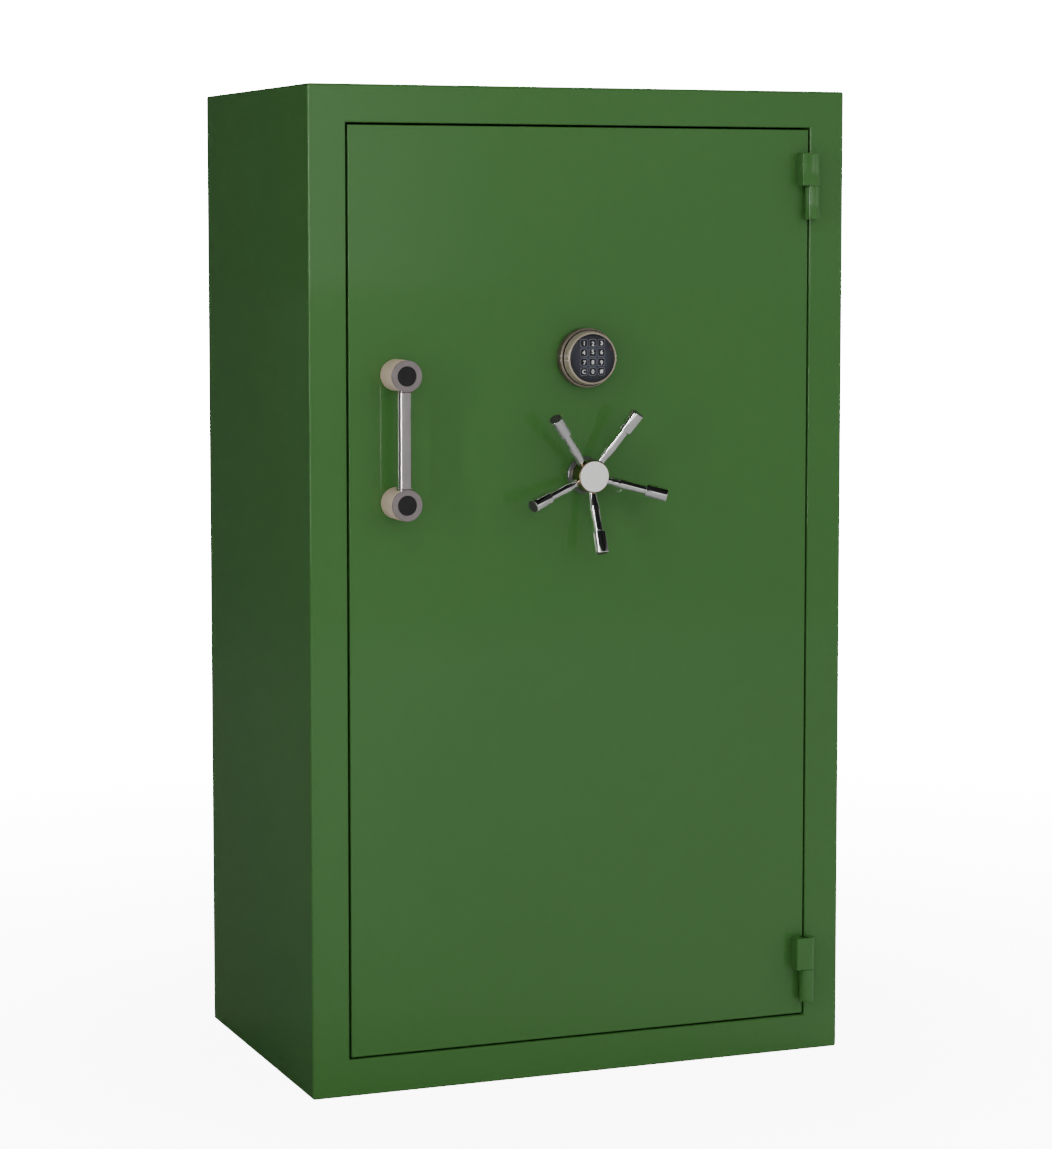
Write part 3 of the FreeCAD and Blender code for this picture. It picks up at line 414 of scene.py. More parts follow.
def keypad_housing(finishes):
    """Cover with a slight taper, a rounded shoulder and a catch on each side."""
    at = on_door("keypad_housing")
    bm = bmesh.new()
    profile = [(38.2, 21.0), (38.2, 19.0), (40.6, 19.0)] + arc(40.6, 19.4, 0.4, -90, 0, 3)
    profile += [(40.9, 20.6), (40.2, 24.0), (40.25, 24.2), (39.3, 30.4)] + arc(37.3, 31.2, 2.0, 12, 62)
    profile += [(37.6, 33.7), (37.1, 34.0), (36.6, 33.7), (36.4, 33.0), (36.4, 31.8)]
    add_turned(bm, profile, at, steps=128)
    piece("keypad_cover", bm, "door", finishes["tan_nickel"], ["keypad_housing"])

    bm = bmesh.new()
    for side in (-1, 1):
        for radius, low, high in ((40.3, 23.4, 25.0), (39.1, 29.6, 31.4), (44.4, 13.6, 15.2)):
            for up in (-3.4, 3.4):
                centre = at + Vector((side * radius, 0, up)) * MM
                corners = [centre + Vector(c) * MM for c in ((-0.9, -high, -1.5), (0.9, -low, 1.5))]
                add_block(bm, *corners, 0.35 * MM)
    piece("keypad_catches", bm, "door", finishes["chrome"])


def keypad_face(finishes):
    """Glossy face, a little domed, with a window for each key and a printed border round it."""
    at = on_door("keypad_face")
    keys = [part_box(n) for n in KEYS]
    size = KEY_CAP + 0.6 * MM
    bm = bmesh.new()
    rings = [(36.35, 31.4), (36.3, 32.3)]
    for i in range(14):
        turn = math.pi / 2 * i / 14
        rings.append((36.0 * math.cos(turn), 32.4 + 0.75 * math.sin(turn)))
    add_turned(bm, rings + [(0, 33.15)], at)
    face = piece("keypad_face_plate", bm, "door", finishes["face"], ["keypad_face"])

    windows = bmesh.new()
    for low, high in keys:
        add_round_square(windows, (low + high) / 2, size, 2.3 * MM, 20 * MM, 40 * MM)
    cut_out(face, windows)

    bm = bmesh.new()
    for low, high in keys:
        middle = (low + high) / 2
        outer = bmesh.new()
        add_round_square(outer, middle, size + 1.5 * MM, 2.9 * MM, 33.05 * MM, 33.22 * MM)
        add_frame_ring(bm, outer, middle, size + 0.3 * MM)
        outer.free()
    piece("key_borders", bm, "door", finishes["grey_ink"])

    bm = bmesh.new()
    lamp = at + Vector((29.5, 0, 13.5)) * MM
    add_turned(bm, [(1.15, 32.3), (1.1, 32.75), (0.7, 32.95), (0, 33.0)], lamp, steps=24)
    piece("status_lamp", bm, "door", finishes["lamp"])


def add_frame_ring(bm, outer, middle, hole):
    """Copies the front outline of a rounded block, scaled in to a hole, and bridges the two."""
    front = min(v.co.y for v in outer.verts)
    rim = [v.co.copy() for v in outer.verts if abs(v.co.y - front) < 1e-6]
    rim.sort(key=lambda c: math.atan2(c.z - middle.z, c.x - middle.x))
    reach = max(c.x - middle.x for c in rim)
    loops = []
    for scale in (1.0, hole / 2 / reach):
        ring = []
        for c in rim:
            x, z = middle.x + (c.x - middle.x) * scale, middle.z + (c.z - middle.z) * scale
            ring.append(bm.verts.new((x, c.y, z)))
        loops.append([bm.edges.new((ring[i - 1], ring[i])) for i in range(len(ring))])
    bmesh.ops.bridge_loops(bm, edges=loops[0] + loops[1])


def keypad_keys(finishes):
    """Each key has a soft-edged cap, and its sign in white."""
    for node in KEYS:
        low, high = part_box(node)
        middle = (low + high) / 2
        front = DOOR_FACE - low.y
        bm = bmesh.new()
        add_round_square(bm, middle, KEY_CAP, 2.0 * MM, 28.5 * MM, front, 0.7 * MM)
        piece(node + "_cap", bm, node, finishes["key"], [node])
        name = node.split("_")[1]
        place = Vector((middle.x, low.y, middle.z))
        add_sign(node + "_sign", KEY_SIGNS.get(name, name), place, node, finishes["ink"])


def add_sign(name, text, place, body, material):
    """Raised print: a character set upright on a key."""
    curve = bpy.data.curves.new(name, "FONT")
    curve.body = text
    curve.size = 8.6 * MM
    curve.align_x = "CENTER"
    curve.align_y = "CENTER"
    curve.extrude = 0.05 * MM
    curve.offset = 0.16 * MM
    letter = bpy.data.objects.new(name, curve)
    bpy.context.scene.collection.objects.link(letter)
    mesh = bpy.data.meshes.new_from_object(letter)
    bpy.data.objects.remove(letter)
    centre = sum((v.co for v in mesh.vertices), Vector()) / len(mesh.vertices)
    mesh.transform(Matrix.Translation((-centre.x, -centre.y, 0)))
    mesh.transform(Matrix.Translation(place) @ Matrix.Rotation(math.pi / 2, 4, "X"))
    mesh.materials.clear()
    mesh.materials.append(material)
    sign = bpy.data.objects.new(name, mesh)
    bpy.context.scene.collection.objects.link(sign)
    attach(sign, body)


def pull_handle(finishes):
    """Two turned posts with a parting groove, darkened by a black band as painted shade, and a faced ring,
    black plugs, and the bar between them.
    """
    low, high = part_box("pull_posts")
    radius = (high.x - low.x) / 2
    centres = [Vector(((low.x + high.x) / 2, DOOR_FACE, z)) for z in (low.z + radius, high.z - radius)]
    sides, faces, plugs = bmesh.new(), bmesh.new(), bmesh.new()
    for at in centres:
        add_turned(sides, [(22.6, 0.0), (22.6, 0.9), (23.2, 1.0)] + arc(22.9, 1.8, 0.6, -60, 0, 3)
                   + arc(22.9, 47.4, 0.6, 0, 80, 4) + [(22.2, 48.0)], at)
        # painted shade: black band filling the parting groove between sleeve and faced ring
        add_turned(plugs, [(22.3, 47.8), (22.3, 51.0)], at, steps=72)
        add_turned(faces, [(21.9, 50.5), (22.6, 50.5)] + arc(22.9, 51.1, 0.6, -80, 0, 3)
                   + arc(22.2, 52.7, 1.3, 0, 80, 6) + [(15.3, 54.0), (14.7, 53.6), (14.6, 52.0)], at)
        dome = [(14.55, 51.0)] + arc(13.7, 52.35, 0.85, 0, 85, 5) + [(9.0, 53.2), (0, 53.15)]
        add_turned(plugs, dome, at, steps=72)
    # the sleeves' pale beige is a painted reflection
    piece("pull_post_sleeves", sides, "door", finishes["nickel"], ["pull_posts"])
    piece("pull_post_faces", faces, "door", finishes["mauve_nickel"])
    piece("pull_post_plugs", plugs, "door", finishes["plug"], ["pull_caps"])

    bar_low, bar_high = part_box("pull_bar")
    bar_r = (bar_high.x - bar_low.x) / 2 / MM
    foot = Vector(((bar_low.x + bar_high.x) / 2, (bar_low.y + bar_high.y) / 2, bar_low.z))
    length = (bar_high.z - bar_low.z) / MM
    bm = bmesh.new()
    side = [(bar_r - 0.5, 0), (bar_r, 0.5), (bar_r, length - 0.5), (bar_r - 0.5, length)]
    add_turned(bm, [(0, 0)] + side + [(0, length)], foot, Vector((0, 0, 1)))
    piece("pull_handle_bar", bm, "door", finishes["bar_chrome"], ["pull_bar"])

    collars = bmesh.new()
    for at, way in zip(centres, (1, -1)):
        start = foot.copy()
        start.z = at.z + way * (radius - 0.8 * MM)
        ring = [(bar_r, 0), (bar_r + 1.0, 0), (bar_r + 1.0, 1.0), (bar_r + 0.6, 1.5), (bar_r, 1.6)]
        add_turned(collars, ring, start, Vector((0, 0, way)), steps=72)
    piece("pull_bar_collars", collars, "door", finishes["dark_nickel"])


def spoke_handle(finishes):
    """Spokes with a swelling, a waist and a stepped grip, screwed into a hub with a flat cap."""
    axle = on_door("handle_hub")
    along = SPOKE_TIP - SPOKE_ROOT
    length = along.length / MM
    profile = [(0, 0), (6.2, 0.0), (6.3, 8), (6.45, 17)]
    profile += [(7.2 - 0.8 * math.cos(math.pi * i / 8), 18 + 18 * i / 8) for i in range(1, 9)]
    profile += [(8.0 - 0.05 * i * i, 36 + 3 * i) for i in range(1, 4)]
    profile += [(7.4 - 0.25 * math.sin(math.pi / 2 * i / 6), 48 + 3.2 * i) for i in range(1, 7)]
    grip = 0.69 * length
    profile += [(7.15, grip - 2.2), (7.6, grip - 1.6), (7.6, grip - 0.4)]
    profile += arc(10.2, grip + 0.4, 0.8, -80, 0, 4)
    profile += arc(9.8, length - 1.3, 1.2, 0, 80, 4)
    profile += [(9.6, length - 0.1), (9.0, length - 0.4), (0, length - 0.4)]
    bm = bmesh.new()
    for k in range(SPOKE_COUNT):
        turn = Matrix.Rotation(LOWEST_SPOKE + math.tau * k / SPOKE_COUNT, 3, "Y")
        add_turned(bm, profile, axle + turn @ SPOKE_ROOT, (turn @ along).normalized(), steps=80)
    piece("handle_spokes_turned", bm, "handle", finishes["chrome"], ["handle_spokes"])
    # painted reflection: dark discs on the chrome spoke ends stand in for the dark reflection seen there
    ends = bmesh.new()
    for k in range(SPOKE_COUNT):
        turn = Matrix.Rotation(LOWEST_SPOKE + math.tau * k / SPOKE_COUNT, 3, "Y")
        way = (turn @ along).normalized()
        tip = axle + turn @ SPOKE_TIP
        add_turned(ends, [(9.05, -0.6), (8.95, -0.3), (8.4, -0.15), (0, -0.12)], tip, way, 48)
    piece("spoke_end_discs", ends, "handle", finishes["end_steel"])

    bm = bmesh.new()
    profile = [(0, 10), (21.6, 10)] + arc(21.6, 11.2, 1.2, -90, -20, 4)
    profile += arc(23.7, 14.0, 0.8, -50, 0, 3) + [(24.5, 38.2)]
    add_turned(bm, profile + arc(23.7, 39.2, 0.8, 0, 85, 4) + [(20, 40.0)], axle)
    piece("handle_hub_body", bm, "handle", finishes["hub_bronze"], ["handle_hub"])
    bm = bmesh.new()
    add_turned(bm, [(22.2, 39.6), (22.7, 40.2)] + arc(22.2, 41.3, 0.8, -20, 20, 3)
               + arc(21.7, 41.5, 1.0, 20, 85, 5) + [(18.0, 42.5), (0, 42.5)], axle)
    piece("handle_hub_cap", bm, "handle", finishes["pale_cap"], ["hub_cap"])

    bm = bmesh.new()
    at = on_door("handle_rosette")
    profile = [(27.6, 0.0)] + arc(27.3, 0.8, 0.7, -60, 0, 3)
    profile += [(28.0, 3.4)] + arc(27.2, 3.6, 0.8, 0, 60, 4)
    profile += [(25.6, 6.4)] + arc(24.0, 8.2, 0.8, 20, 85, 5)
    profile += [(20.4, 9.0), (19.8, 8.3), (18.9, 8.3), (18.3, 9.0), (9.4, 9.0), (9.0, 8.5), (9.0, 4.0)]
    add_turned(bm, profile, at)
    piece("handle_rosette_turned", bm, "door", finishes["dark_metal"], ["handle_rosette"])


def hinges(finishes):
    """Door and body knuckles with soft edges, each with the leaf that carries it."""
    pins_low, pins_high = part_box("hinge_pins")
    axis = Vector(((pins_low.x + pins_high.x) / 2, (pins_low.y + pins_high.y) / 2, 0))
    tall = pins_low.z + PIN_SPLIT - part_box("body_knuckles")[0].z
    for node, body, name in (("door_knuckles", "door", "hinge_upper"),
                             ("body_knuckles", "cabinet", "hinge_lower")):
        low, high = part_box(node)
        barrel = (axis.y - low.y) / MM
        bm = bmesh.new()
        for bottom in (low.z, high.z - tall):
            end = tall / MM
            foot = Vector((axis.x, axis.y, bottom))
            profile = [(0, 0), (barrel - 0.9, 0)] + arc(barrel - 0.8, 0.8, 0.8, -80, 0, 4)
            profile += arc(barrel - 0.8, end - 0.8, 0.8, 0, 80, 4) + [(barrel - 0.9, end), (0, end)]
            add_turned(bm, profile, foot, Vector((0, 0, 1)), steps=72)
            if body == "door":
                start = Vector((low.x, low.y, bottom))
                stop = Vector((axis.x, DOOR_FACE, bottom + tall))
            else:
                start = Vector((axis.x + LEAF_START, axis.y, bottom))
                stop = Vector((high.x, DOOR_FACE, bottom + tall))
            add_block(bm, start, stop, 1.5 * MM, 4)
        piece(name, bm, body, finishes["paint"], [node])


# ---------------------------------------------------------------- inside

WRAP = 2.5 * MM                           # roundness of a carpet-wrapped edge
LINING = 7.0 * MM                         # thickness of a carpeted board
LINING_EDGE = 1.6 * MM
ANCHOR_X, ANCHOR_Y = 0.3, 0.17
ANCHOR_ACCESS = 17                        # radius of the hole through the carpet, in millimetres
HALF_SHELVES = (0.300, 0.580, 0.860)      # undersides of the half shelves
SHELF_GAP = 3.0 * MM                      # at each end of a half shelf
REST_SLOTS = 6                            # notches in the barrel rest
CHANNELS = 6                              # padded channels across the door's back
PAD_BORDER = 30.0 * MM                    # flat edge that the screws hold
PAD_CROWN = 8.5 * MM                      # height of a channel's middle
SEAM_HEIGHT = 0.3 * MM                    # what a seam leaves of the padding
PAD_END = 26 * MM                         # length over which a channel flattens at its ends
EDGE_SHARES = (0, 0.04, 0.12, 0.3, 0.6, 0.85, 0.93, 0.999)   # rows of points across the border
STITCH_PITCH = 7.0 * MM


def room_lining(finishes):
    """Five carpeted boards, the floor's with access holes over the anchors."""
    low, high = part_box("carpet_panels")
    inner_low = Vector((low.x + LINING, low.y, low.z + LINING))
    inner_high = Vector((high.x - LINING, high.y - LINING, high.z - LINING))
    bm = bmesh.new()
    add_block(bm, low, Vector((high.x, high.y, inner_low.z)), LINING_EDGE, 4)
    floor = piece("floor_carpet", bm, "cabinet", finishes["carpet"], ["carpet_panels"])
    holes = bmesh.new()
    bore = [(0, 0), (ANCHOR_ACCESS, 0), (ANCHOR_ACCESS, 40), (0, 40)]
    for x in (-ANCHOR_X, ANCHOR_X):
        for y in (-ANCHOR_Y, ANCHOR_Y):
            add_turned(holes, bore, Vector((x, y, low.z - 10 * MM)), Vector((0, 0, 1)), 48)
    cut_out(floor, holes)
    slabs = {
        "ceiling_carpet": (Vector((low.x, low.y, inner_high.z)), high),
        "left_carpet": (Vector((low.x, low.y, inner_low.z)), Vector((inner_low.x, high.y, inner_high.z))),
        "right_carpet": (Vector((inner_high.x, low.y, inner_low.z)),
                         Vector((high.x, high.y, inner_high.z))),
        "rear_carpet": (Vector((inner_low.x, inner_high.y, inner_low.z)),
                        Vector((inner_high.x, high.y, inner_high.z))),
    }
    for name, (start, stop) in slabs.items():
        bm = bmesh.new()
        add_block(bm, start, stop, LINING_EDGE, 4)
        piece(name, bm, "cabinet", finishes["carpet"])


def shelves(finishes):
    """Carpet-wrapped shelves: a full one at the top, and half ones on the right."""
    low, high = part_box("shelves")
    post_low, post_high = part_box("center_divider")
    thick = high.z - post_high.z
    strip_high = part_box("shelf_standards")[1]
    bm = bmesh.new()
    add_block(bm, Vector((low.x, low.y, high.z - thick)), high, WRAP, 4)
    inner = post_high.x + SHELF_GAP
    outer = strip_high.x - SHELF_GAP
    for base in HALF_SHELVES:
        add_block(bm, Vector((inner, low.y, base)), Vector((outer, high.y, base + thick)), WRAP, 4)
    piece("carpeted_shelves", bm, "cabinet", finishes["carpet"], ["shelves"])
    bm = bmesh.new()
    add_block(bm, post_low, post_high, WRAP, 4)
    piece("carpeted_divider", bm, "cabinet", finishes["carpet"], ["center_divider"])


def barrel_rest(finishes):
    """Notched rest, wrapped in carpet."""
    low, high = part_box("barrel_rest")
    pitch = (high.x - low.x) / REST_SLOTS
    half, deep = 20.0 * MM, 60.0 * MM
    outline = [(high.x, high.y), (low.x, high.y), (low.x, low.y)]
    for i in range(REST_SLOTS):
        x = low.x + pitch * (i + 0.5)
        outline.append((x - half, low.y))
        for k in range(17):
            turn = math.pi * (1 - k / 16)
            outline.append((x + half * math.cos(turn), low.y + deep - half + half * math.sin(turn)))
        outline.append((x + half, low.y))
    outline.append((high.x, low.y))
    bm = bmesh.new()
    face = bm.faces.new([bm.verts.new((x, y, low.z)) for x, y in outline])
    wall = bmesh.ops.extrude_face_region(bm, geom=[face])["geom"]
    top = [v for v in wall if isinstance(v, bmesh.types.BMVert)]
    bmesh.ops.translate(bm, vec=(0, 0, high.z - low.z), verts=top)
    rims = [e for e in bm.edges if abs(e.verts[0].co.z - e.verts[1].co.z) < 1e-6]
    bmesh.ops.bevel(bm, geom=rims, offset=1.8 * MM, offset_type="OFFSET", segments=3, profile=0.5,
                    affect="EDGES", material=-1, clamp_overlap=True)
    piece("carpeted_rest", bm, "cabinet", finishes["carpet"], ["barrel_rest"])


def pad_height(x, z, left, right, bottom, top):
    """Padding over the board: channels between sewn seams, flattened towards the screwed border."""
    inset = min(x - left, right - x, z - bottom, top - z)
    if inset <= PAD_BORDER:
        roll = min(max(inset, 0.0) / (5 * MM), 1.0)
        return 1.2 * MM * math.sqrt(roll) if inset < PAD_BORDER - 4 * MM else SEAM_HEIGHT
    width = (right - left - 2 * PAD_BORDER) / CHANNELS
    share = ((x - left - PAD_BORDER) / width) % 1.0
    crown = max(math.sin(math.pi * share), 0.0) ** 0.6
    near_end = min(z - bottom - PAD_BORDER, top - PAD_BORDER - z) / PAD_END
    ends = math.sqrt(min(max(near_end, 0.0), 1.0))
    pucker = noise.noise(Vector((x * 90, 3.0, z * 160))) * (1 - crown) * 2.2 * MM
    loose = noise.noise(Vector((x * 14, 7.0, z * 9))) * crown * 1.3 * MM
    return max(SEAM_HEIGHT, (PAD_CROWN * crown + pucker + loose) * ends)


def add_stitch(bm, x, y, z):
    """A lens-shaped thread lying along Z."""
    rings = []
    for along, wide, tall in ((0.0, 0.25, 0.3), (1.2, 0.5, 1.0), (3.4, 0.5, 1.0), (4.6, 0.25, 0.3)):
        corners = ((-wide, -0.2), (wide, -0.2), (wide, tall * 0.6), (0, tall), (-wide, tall * 0.6))
        rings.append([bm.verts.new((x + across * MM, y + up * MM, z + along * MM))
                      for across, up in corners])
    for first, second in zip(rings, rings[1:]):
        for i in range(5):
            bm.faces.new((first[i - 1], first[i], second[i], second[i - 1]))
    bm.faces.new(rings[0])
    bm.faces.new(rings[-1])


def back_panel(finishes):
    """Upholstered panel on the door's back: sewn channels, a flat border and a row of stitches per seam."""
    low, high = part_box("door_back_panel")
    width = (high.x - low.x - 2 * PAD_BORDER) / CHANNELS
    columns = [low.x + PAD_BORDER * share for share in EDGE_SHARES]
    for c in range(CHANNELS):
        first = low.x + PAD_BORDER + width * c
        for i in range(1 if c else 0, 17):
            columns.append(first + width * (0.5 - 0.5 * math.cos(math.pi * i / 16)))
    columns += [high.x - PAD_BORDER * share for share in reversed(EDGE_SHARES)]
    ends = [PAD_BORDER * share for share in EDGE_SHARES]
    ends += [PAD_BORDER + PAD_END * share for share in (0.03, 0.1, 0.2, 0.35, 0.55, 0.8)]
    start, stop = low.z + PAD_BORDER + 28 * MM, high.z - PAD_BORDER - 28 * MM
    rows = [low.z + e for e in ends] + [start + (stop - start) * i / 200 for i in range(201)]
    rows += [high.z - e for e in reversed(ends)]
    bm = bmesh.new()
    board = high.y - 1.2 * MM
    edges = (low.x, high.x, low.z, high.z)
    grid = [[bm.verts.new((x, board + pad_height(x, z, *edges), z)) for x in columns] for z in rows]
    for lower, upper in zip(grid, grid[1:]):
        for i in range(len(columns) - 1):
            bm.faces.new((lower[i + 1], lower[i], upper[i], upper[i + 1]))
    rim = [e for e in bm.edges if e.is_boundary]
    made = bmesh.ops.extrude_edge_only(bm, edges=rim)["geom"]
    skirt = [v for v in made if isinstance(v, bmesh.types.BMVert)]
    for v in skirt:
        v.co.y = low.y
    open_rim = [e for e in made if isinstance(e, bmesh.types.BMEdge) and e.is_boundary]
    bmesh.ops.contextual_create(bm, geom=open_rim)
    panel = piece("upholstered_back", bm, "door", finishes["upholstery"], ["door_back_panel"])

    bm = bmesh.new()
    for c in range(CHANNELS + 1):
        x = low.x + PAD_BORDER + width * c
        z = low.z + PAD_BORDER + 6 * MM
        while z < high.z - PAD_BORDER - 8 * MM:
            add_stitch(bm, x, board, z)
            z += STITCH_PITCH
    piece("back_stitches", bm, "door", finishes["thread"])


def back_screws(finishes):
    """Dished washers and hexagon-socket screws round the back panel."""
    low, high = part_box("panel_screws")
    edge = 6.5 * MM
    xs = [low.x + edge + i * (high.x - low.x - 2 * edge) / 3 for i in range(4)]
    zs = [low.z + edge + i * (high.z - low.z - 2 * edge) / 5 for i in range(6)]
    seat = high.y - 1.8 * MM
    heads, sockets = bmesh.new(), bmesh.new()
    for i, x in enumerate(xs):
        for j, z in enumerate(zs):
            if i in (1, 2) and j not in (0, 5):
                continue
            at = Vector((x, seat, z))
            back = Vector((0, 1, 0))
            add_turned(heads, [(0, -2), (6.1, -2), (6.5, -0.4), (6.4, 0.2)] + arc(5.6, 0.4, 0.8, 10, 120, 4)
                       + [(4.3, 0.3), (4.2, 0.9)] + arc(3.3, 0.9, 0.9, 0, 80, 3) + [(0, 1.8)], at, back, 40)
            add_turned(sockets, [(0, 0.3), (1.9, 0.3), (1.9, 4.0), (0, 4.0)], at, back, 6)
    screws = piece("back_panel_screws", heads, "door", finishes["zinc"], ["panel_screws"])
    cut_out(screws, sockets)


def fire_seal(finishes):
    """Swelling seal round the back of the door plate, outside the pan."""
    low, high = DOOR_LOW, DOOR_HIGH
    near, far = 3.0 * MM, 11.0 * MM
    back = high.y + 3.5 * MM
    bm = bmesh.new()
    for side in (-1, 1):
        x = sorted((side * (high.x - near), side * (high.x - far)))
        start, stop = Vector((x[0], high.y, low.z + near)), Vector((x[1], back, high.z - near))
        add_block(bm, start, stop, 0.9 * MM)
    for z in ((low.z + near, low.z + far), (high.z - far, high.z - near)):
        start, stop = Vector((low.x + far, high.y, z[0])), Vector((high.x - far, back, z[1]))
        add_block(bm, start, stop, 0.9 * MM)
    piece("door_fire_seal", bm, "door", finishes["seal"])


# ---------------------------------------------------------------- stage

CAMERA_PLACE = Vector((-1.8483, -4.7154, 1.2994))
CAMERA_TURN = math.radians(21.52)         # to the right of straight ahead
CAMERA_TILT = math.radians(4.83)          # down
CAMERA_LENS = 99.96
CAMERA_RISE = -0.0696


def add_camera():
    data = bpy.data.cameras.new("camera")
    data.sensor_width = 36.0
    data.lens = CAMERA_LENS
    data.shift_y = CAMERA_RISE
    data.clip_end = 200.0
    camera = bpy.data.objects.new("camera", data)
    camera.location = CAMERA_PLACE
    camera.rotation_euler = (math.pi / 2 - CAMERA_TILT, 0, -CAMERA_TURN)
    bpy.context.scene.collection.objects.link(camera)
    bpy.context.scene.camera = camera


def add_light(name, place, target, size, power, mirrored=True):
    data = bpy.data.lights.new(name, "AREA")
    data.shape = "RECTANGLE"
    data.size, data.size_y = size
    data.energy = power
    light = bpy.data.objects.new(name, data)
    light.location = place
    light.visible_camera = False
    light.visible_glossy = mirrored
    light.rotation_euler = (Vector(target) - Vector(place)).to_track_quat("-Z", "Y").to_euler()
    bpy.context.scene.collection.objects.link(light)


BACKDROP = 20.0                           # brightness of the white surround, seen by the camera alone
FLOOR_GLOW = 9.0                          # lifts the floor under the object towards it
# What polished metal sees, from left to right: place, brightness
PANELS = ((0.00, 0.25), (0.04, 1.9), (0.17, 1.9), (0.20, 0.05), (0.26, 0.05), (0.30, 1.2), (0.42, 0.9),
          (0.52, 0.65), (0.72, 0.50), (0.76, 0.03), (0.84, 0.03), (0.88, 1.1), (0.97, 0.8), (1.00, 0.2))


def add_world():
    """White to the eye, a soft fill from the front right, and upright panels for metal to mirror."""
    world = bpy.data.worlds.new("studio")
    bpy.context.scene.world = world
    world.use_nodes = True
    tree = world.node_tree
    tree.nodes.clear()
    links = tree.links

    def scaled(value, low, high, start, end):
        node = tree.nodes.new("ShaderNodeMapRange")
        node.interpolation_type = "SMOOTHSTEP"
        for key, number in (("From Min", start), ("From Max", end), ("To Min", low), ("To Max", high)):
            node.inputs[key].default_value = number
        links.new(value, node.inputs["Value"])
        return node.outputs["Result"]

    def backdrop(strength):
        node = tree.nodes.new("ShaderNodeBackground")
        node.inputs["Color"].default_value = (1, 1, 1, 1)
        if isinstance(strength, float):
            node.inputs["Strength"].default_value = strength
        else:
            links.new(strength, node.inputs["Strength"])
        return node.outputs[0]

    def combined(operation, first, second):
        node = tree.nodes.new("ShaderNodeMath")
        node.operation = operation
        links.new(first, node.inputs[0])
        links.new(second, node.inputs[1])
        return node.outputs[0]

    def choose(test, no, yes):
        node = tree.nodes.new("ShaderNodeMixShader")
        for start, stop in ((test, 0), (no, 1), (yes, 2)):
            links.new(start, node.inputs[stop])
        return node.outputs[0]

    coords = tree.nodes.new("ShaderNodeTexCoord").outputs["Generated"]
    split = tree.nodes.new("ShaderNodeSeparateXYZ")
    links.new(coords, split.inputs[0])
    path = tree.nodes.new("ShaderNodeLightPath")
    panels = tree.nodes.new("ShaderNodeValToRGB")
    ramp = panels.color_ramp
    for place, bright in PANELS[1:-1]:
        ramp.elements.new(place).color = (bright, bright, bright, 1)
    for element, (_, bright) in ((ramp.elements[0], PANELS[0]), (ramp.elements[-1], PANELS[-1])):
        element.color = (bright, bright, bright, 1)
    links.new(scaled(split.outputs["X"], 0.0, 1.0, -1.0, 1.0), panels.inputs["Fac"])
    behind = scaled(split.outputs["Y"], 1.0, 0.03, -0.2, 0.3)
    above = scaled(split.outputs["Z"], 1.0, 0.02, 0.10, 0.34)
    horizon = scaled(split.outputs["Z"], 0.30, 0.0, 0.03, 0.15)
    upright = combined("MULTIPLY", panels.outputs["Color"], above)
    mirrored = combined("MULTIPLY", combined("ADD", upright, horizon), behind)
    fill = scaled(split.outputs["X"], 0.04, 0.85, -0.75, 0.6)
    room = choose(path.outputs["Is Glossy Ray"], backdrop(fill), backdrop(mirrored))
    end = tree.nodes.new("ShaderNodeOutputWorld")
    links.new(choose(path.outputs["Is Camera Ray"], room, backdrop(BACKDROP)), end.inputs["Surface"])


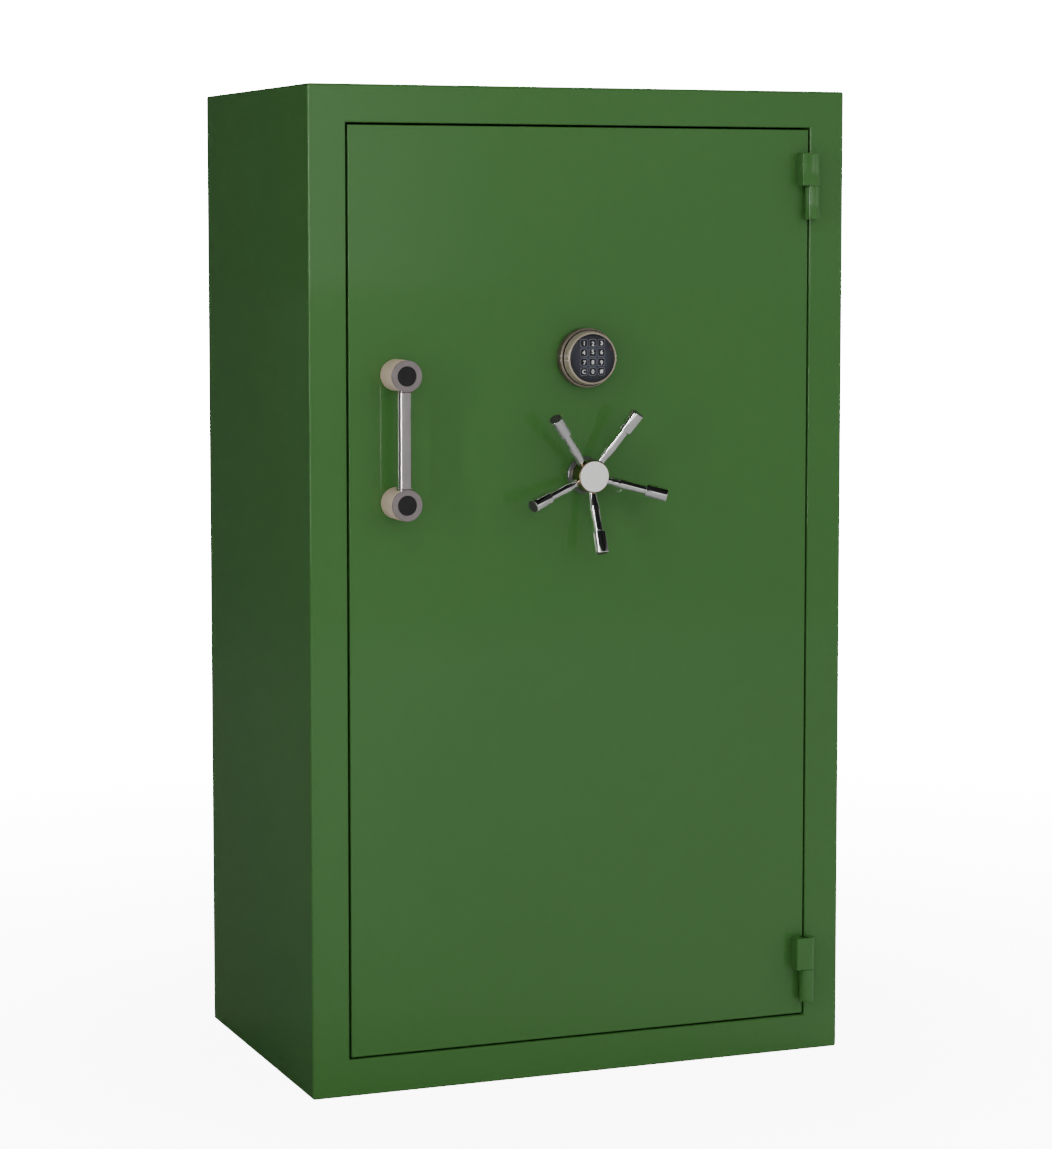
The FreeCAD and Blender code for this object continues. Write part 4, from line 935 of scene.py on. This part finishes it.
def add_floor():
    """Pale floor that fades into the white surround with distance."""
    bm = bmesh.new()
    bmesh.ops.create_circle(bm, cap_ends=True, segments=64, radius=60.0)
    mesh = bpy.data.meshes.new("floor")
    bm.to_mesh(mesh)
    bm.free()
    floor = bpy.data.objects.new("floor", mesh)
    floor.location.z = -0.0005
    bpy.context.scene.collection.objects.link(floor)
    f = Finish("floor", (0.88, 0.88, 0.88), Roughness=0.9, Specular_IOR_Level=0.1)
    f.tint(f.noise(900, 2), 0.995, 1.0)
    ahead = f.add("ShaderNodeVectorMath", operation="DOT_PRODUCT")
    ahead.inputs[1].default_value = (0.5, -0.87, 0)
    f.link(f.coords, ahead.inputs[0])
    dark = f.add("ShaderNodeBsdfDiffuse")
    f.link(f.ramp(ahead.outputs["Value"], 0.10, 0.58, 0.0, 0.6), dark.inputs["Color"])
    dim = f.add("ShaderNodeMixShader")
    length = f.add("ShaderNodeVectorMath", operation="LENGTH")
    f.link(f.coords, length.inputs[0])
    fade = f.ramp(length.outputs["Value"], FLOOR_GLOW, BACKDROP, 0.6, 4.0)
    seen = f.add("ShaderNodeLightPath")
    power = f.add("ShaderNodeMath", operation="MULTIPLY")
    f.link(fade, power.inputs[0])
    f.link(seen.outputs["Is Camera Ray"], power.inputs[1])
    glow = f.add("ShaderNodeEmission")
    f.link(power.outputs[0], glow.inputs["Strength"])
    f.link(seen.outputs["Is Glossy Ray"], dim.inputs[0])
    f.link(f.shader.outputs[0], dim.inputs[1])
    f.link(dark.outputs[0], dim.inputs[2])
    both = f.add("ShaderNodeAddShader")
    f.link(dim.outputs[0], both.inputs[0])
    f.link(glow.outputs[0], both.inputs[1])
    f.link(both.outputs[0], f.tree.nodes["Material Output"].inputs["Surface"])
    mesh.materials.append(f.material)


def set_stage():
    add_camera()
    add_world()
    add_floor()
    add_light("key", (0.9, -5.0, 2.8), (0, -0.2, 0.8), (4.4, 3.2), 38, mirrored=False)
    add_light("front", (-2.0, -5.0, 2.0), (0, 0, 0.9), (3.2, 3.0), 36, mirrored=False)
    add_light("high_left", (-1.3, -1.8, 2.7), (-0.3, -0.27, 1.35), (1.4, 0.9), 8.0, mirrored=False)
    add_light("left_strip", (-4.3, -2.3, 1.7), (-0.3, -0.2, 0.9), (0.12, 2.8), 46)
    add_light("rear", (0.5, 4.5, 3.2), (0, 0, 0.8), (3.0, 2.0), 60, mirrored=False)


finishes = make_finishes()
coat_cad_nodes(finishes)
set_stage()
keypad_base(finishes)
keypad_housing(finishes)
keypad_face(finishes)
keypad_keys(finishes)
pull_handle(finishes)
spoke_handle(finishes)
hinges(finishes)
room_lining(finishes)
shelves(finishes)
barrel_rest(finishes)
back_panel(finishes)
back_screws(finishes)
fire_seal(finishes)
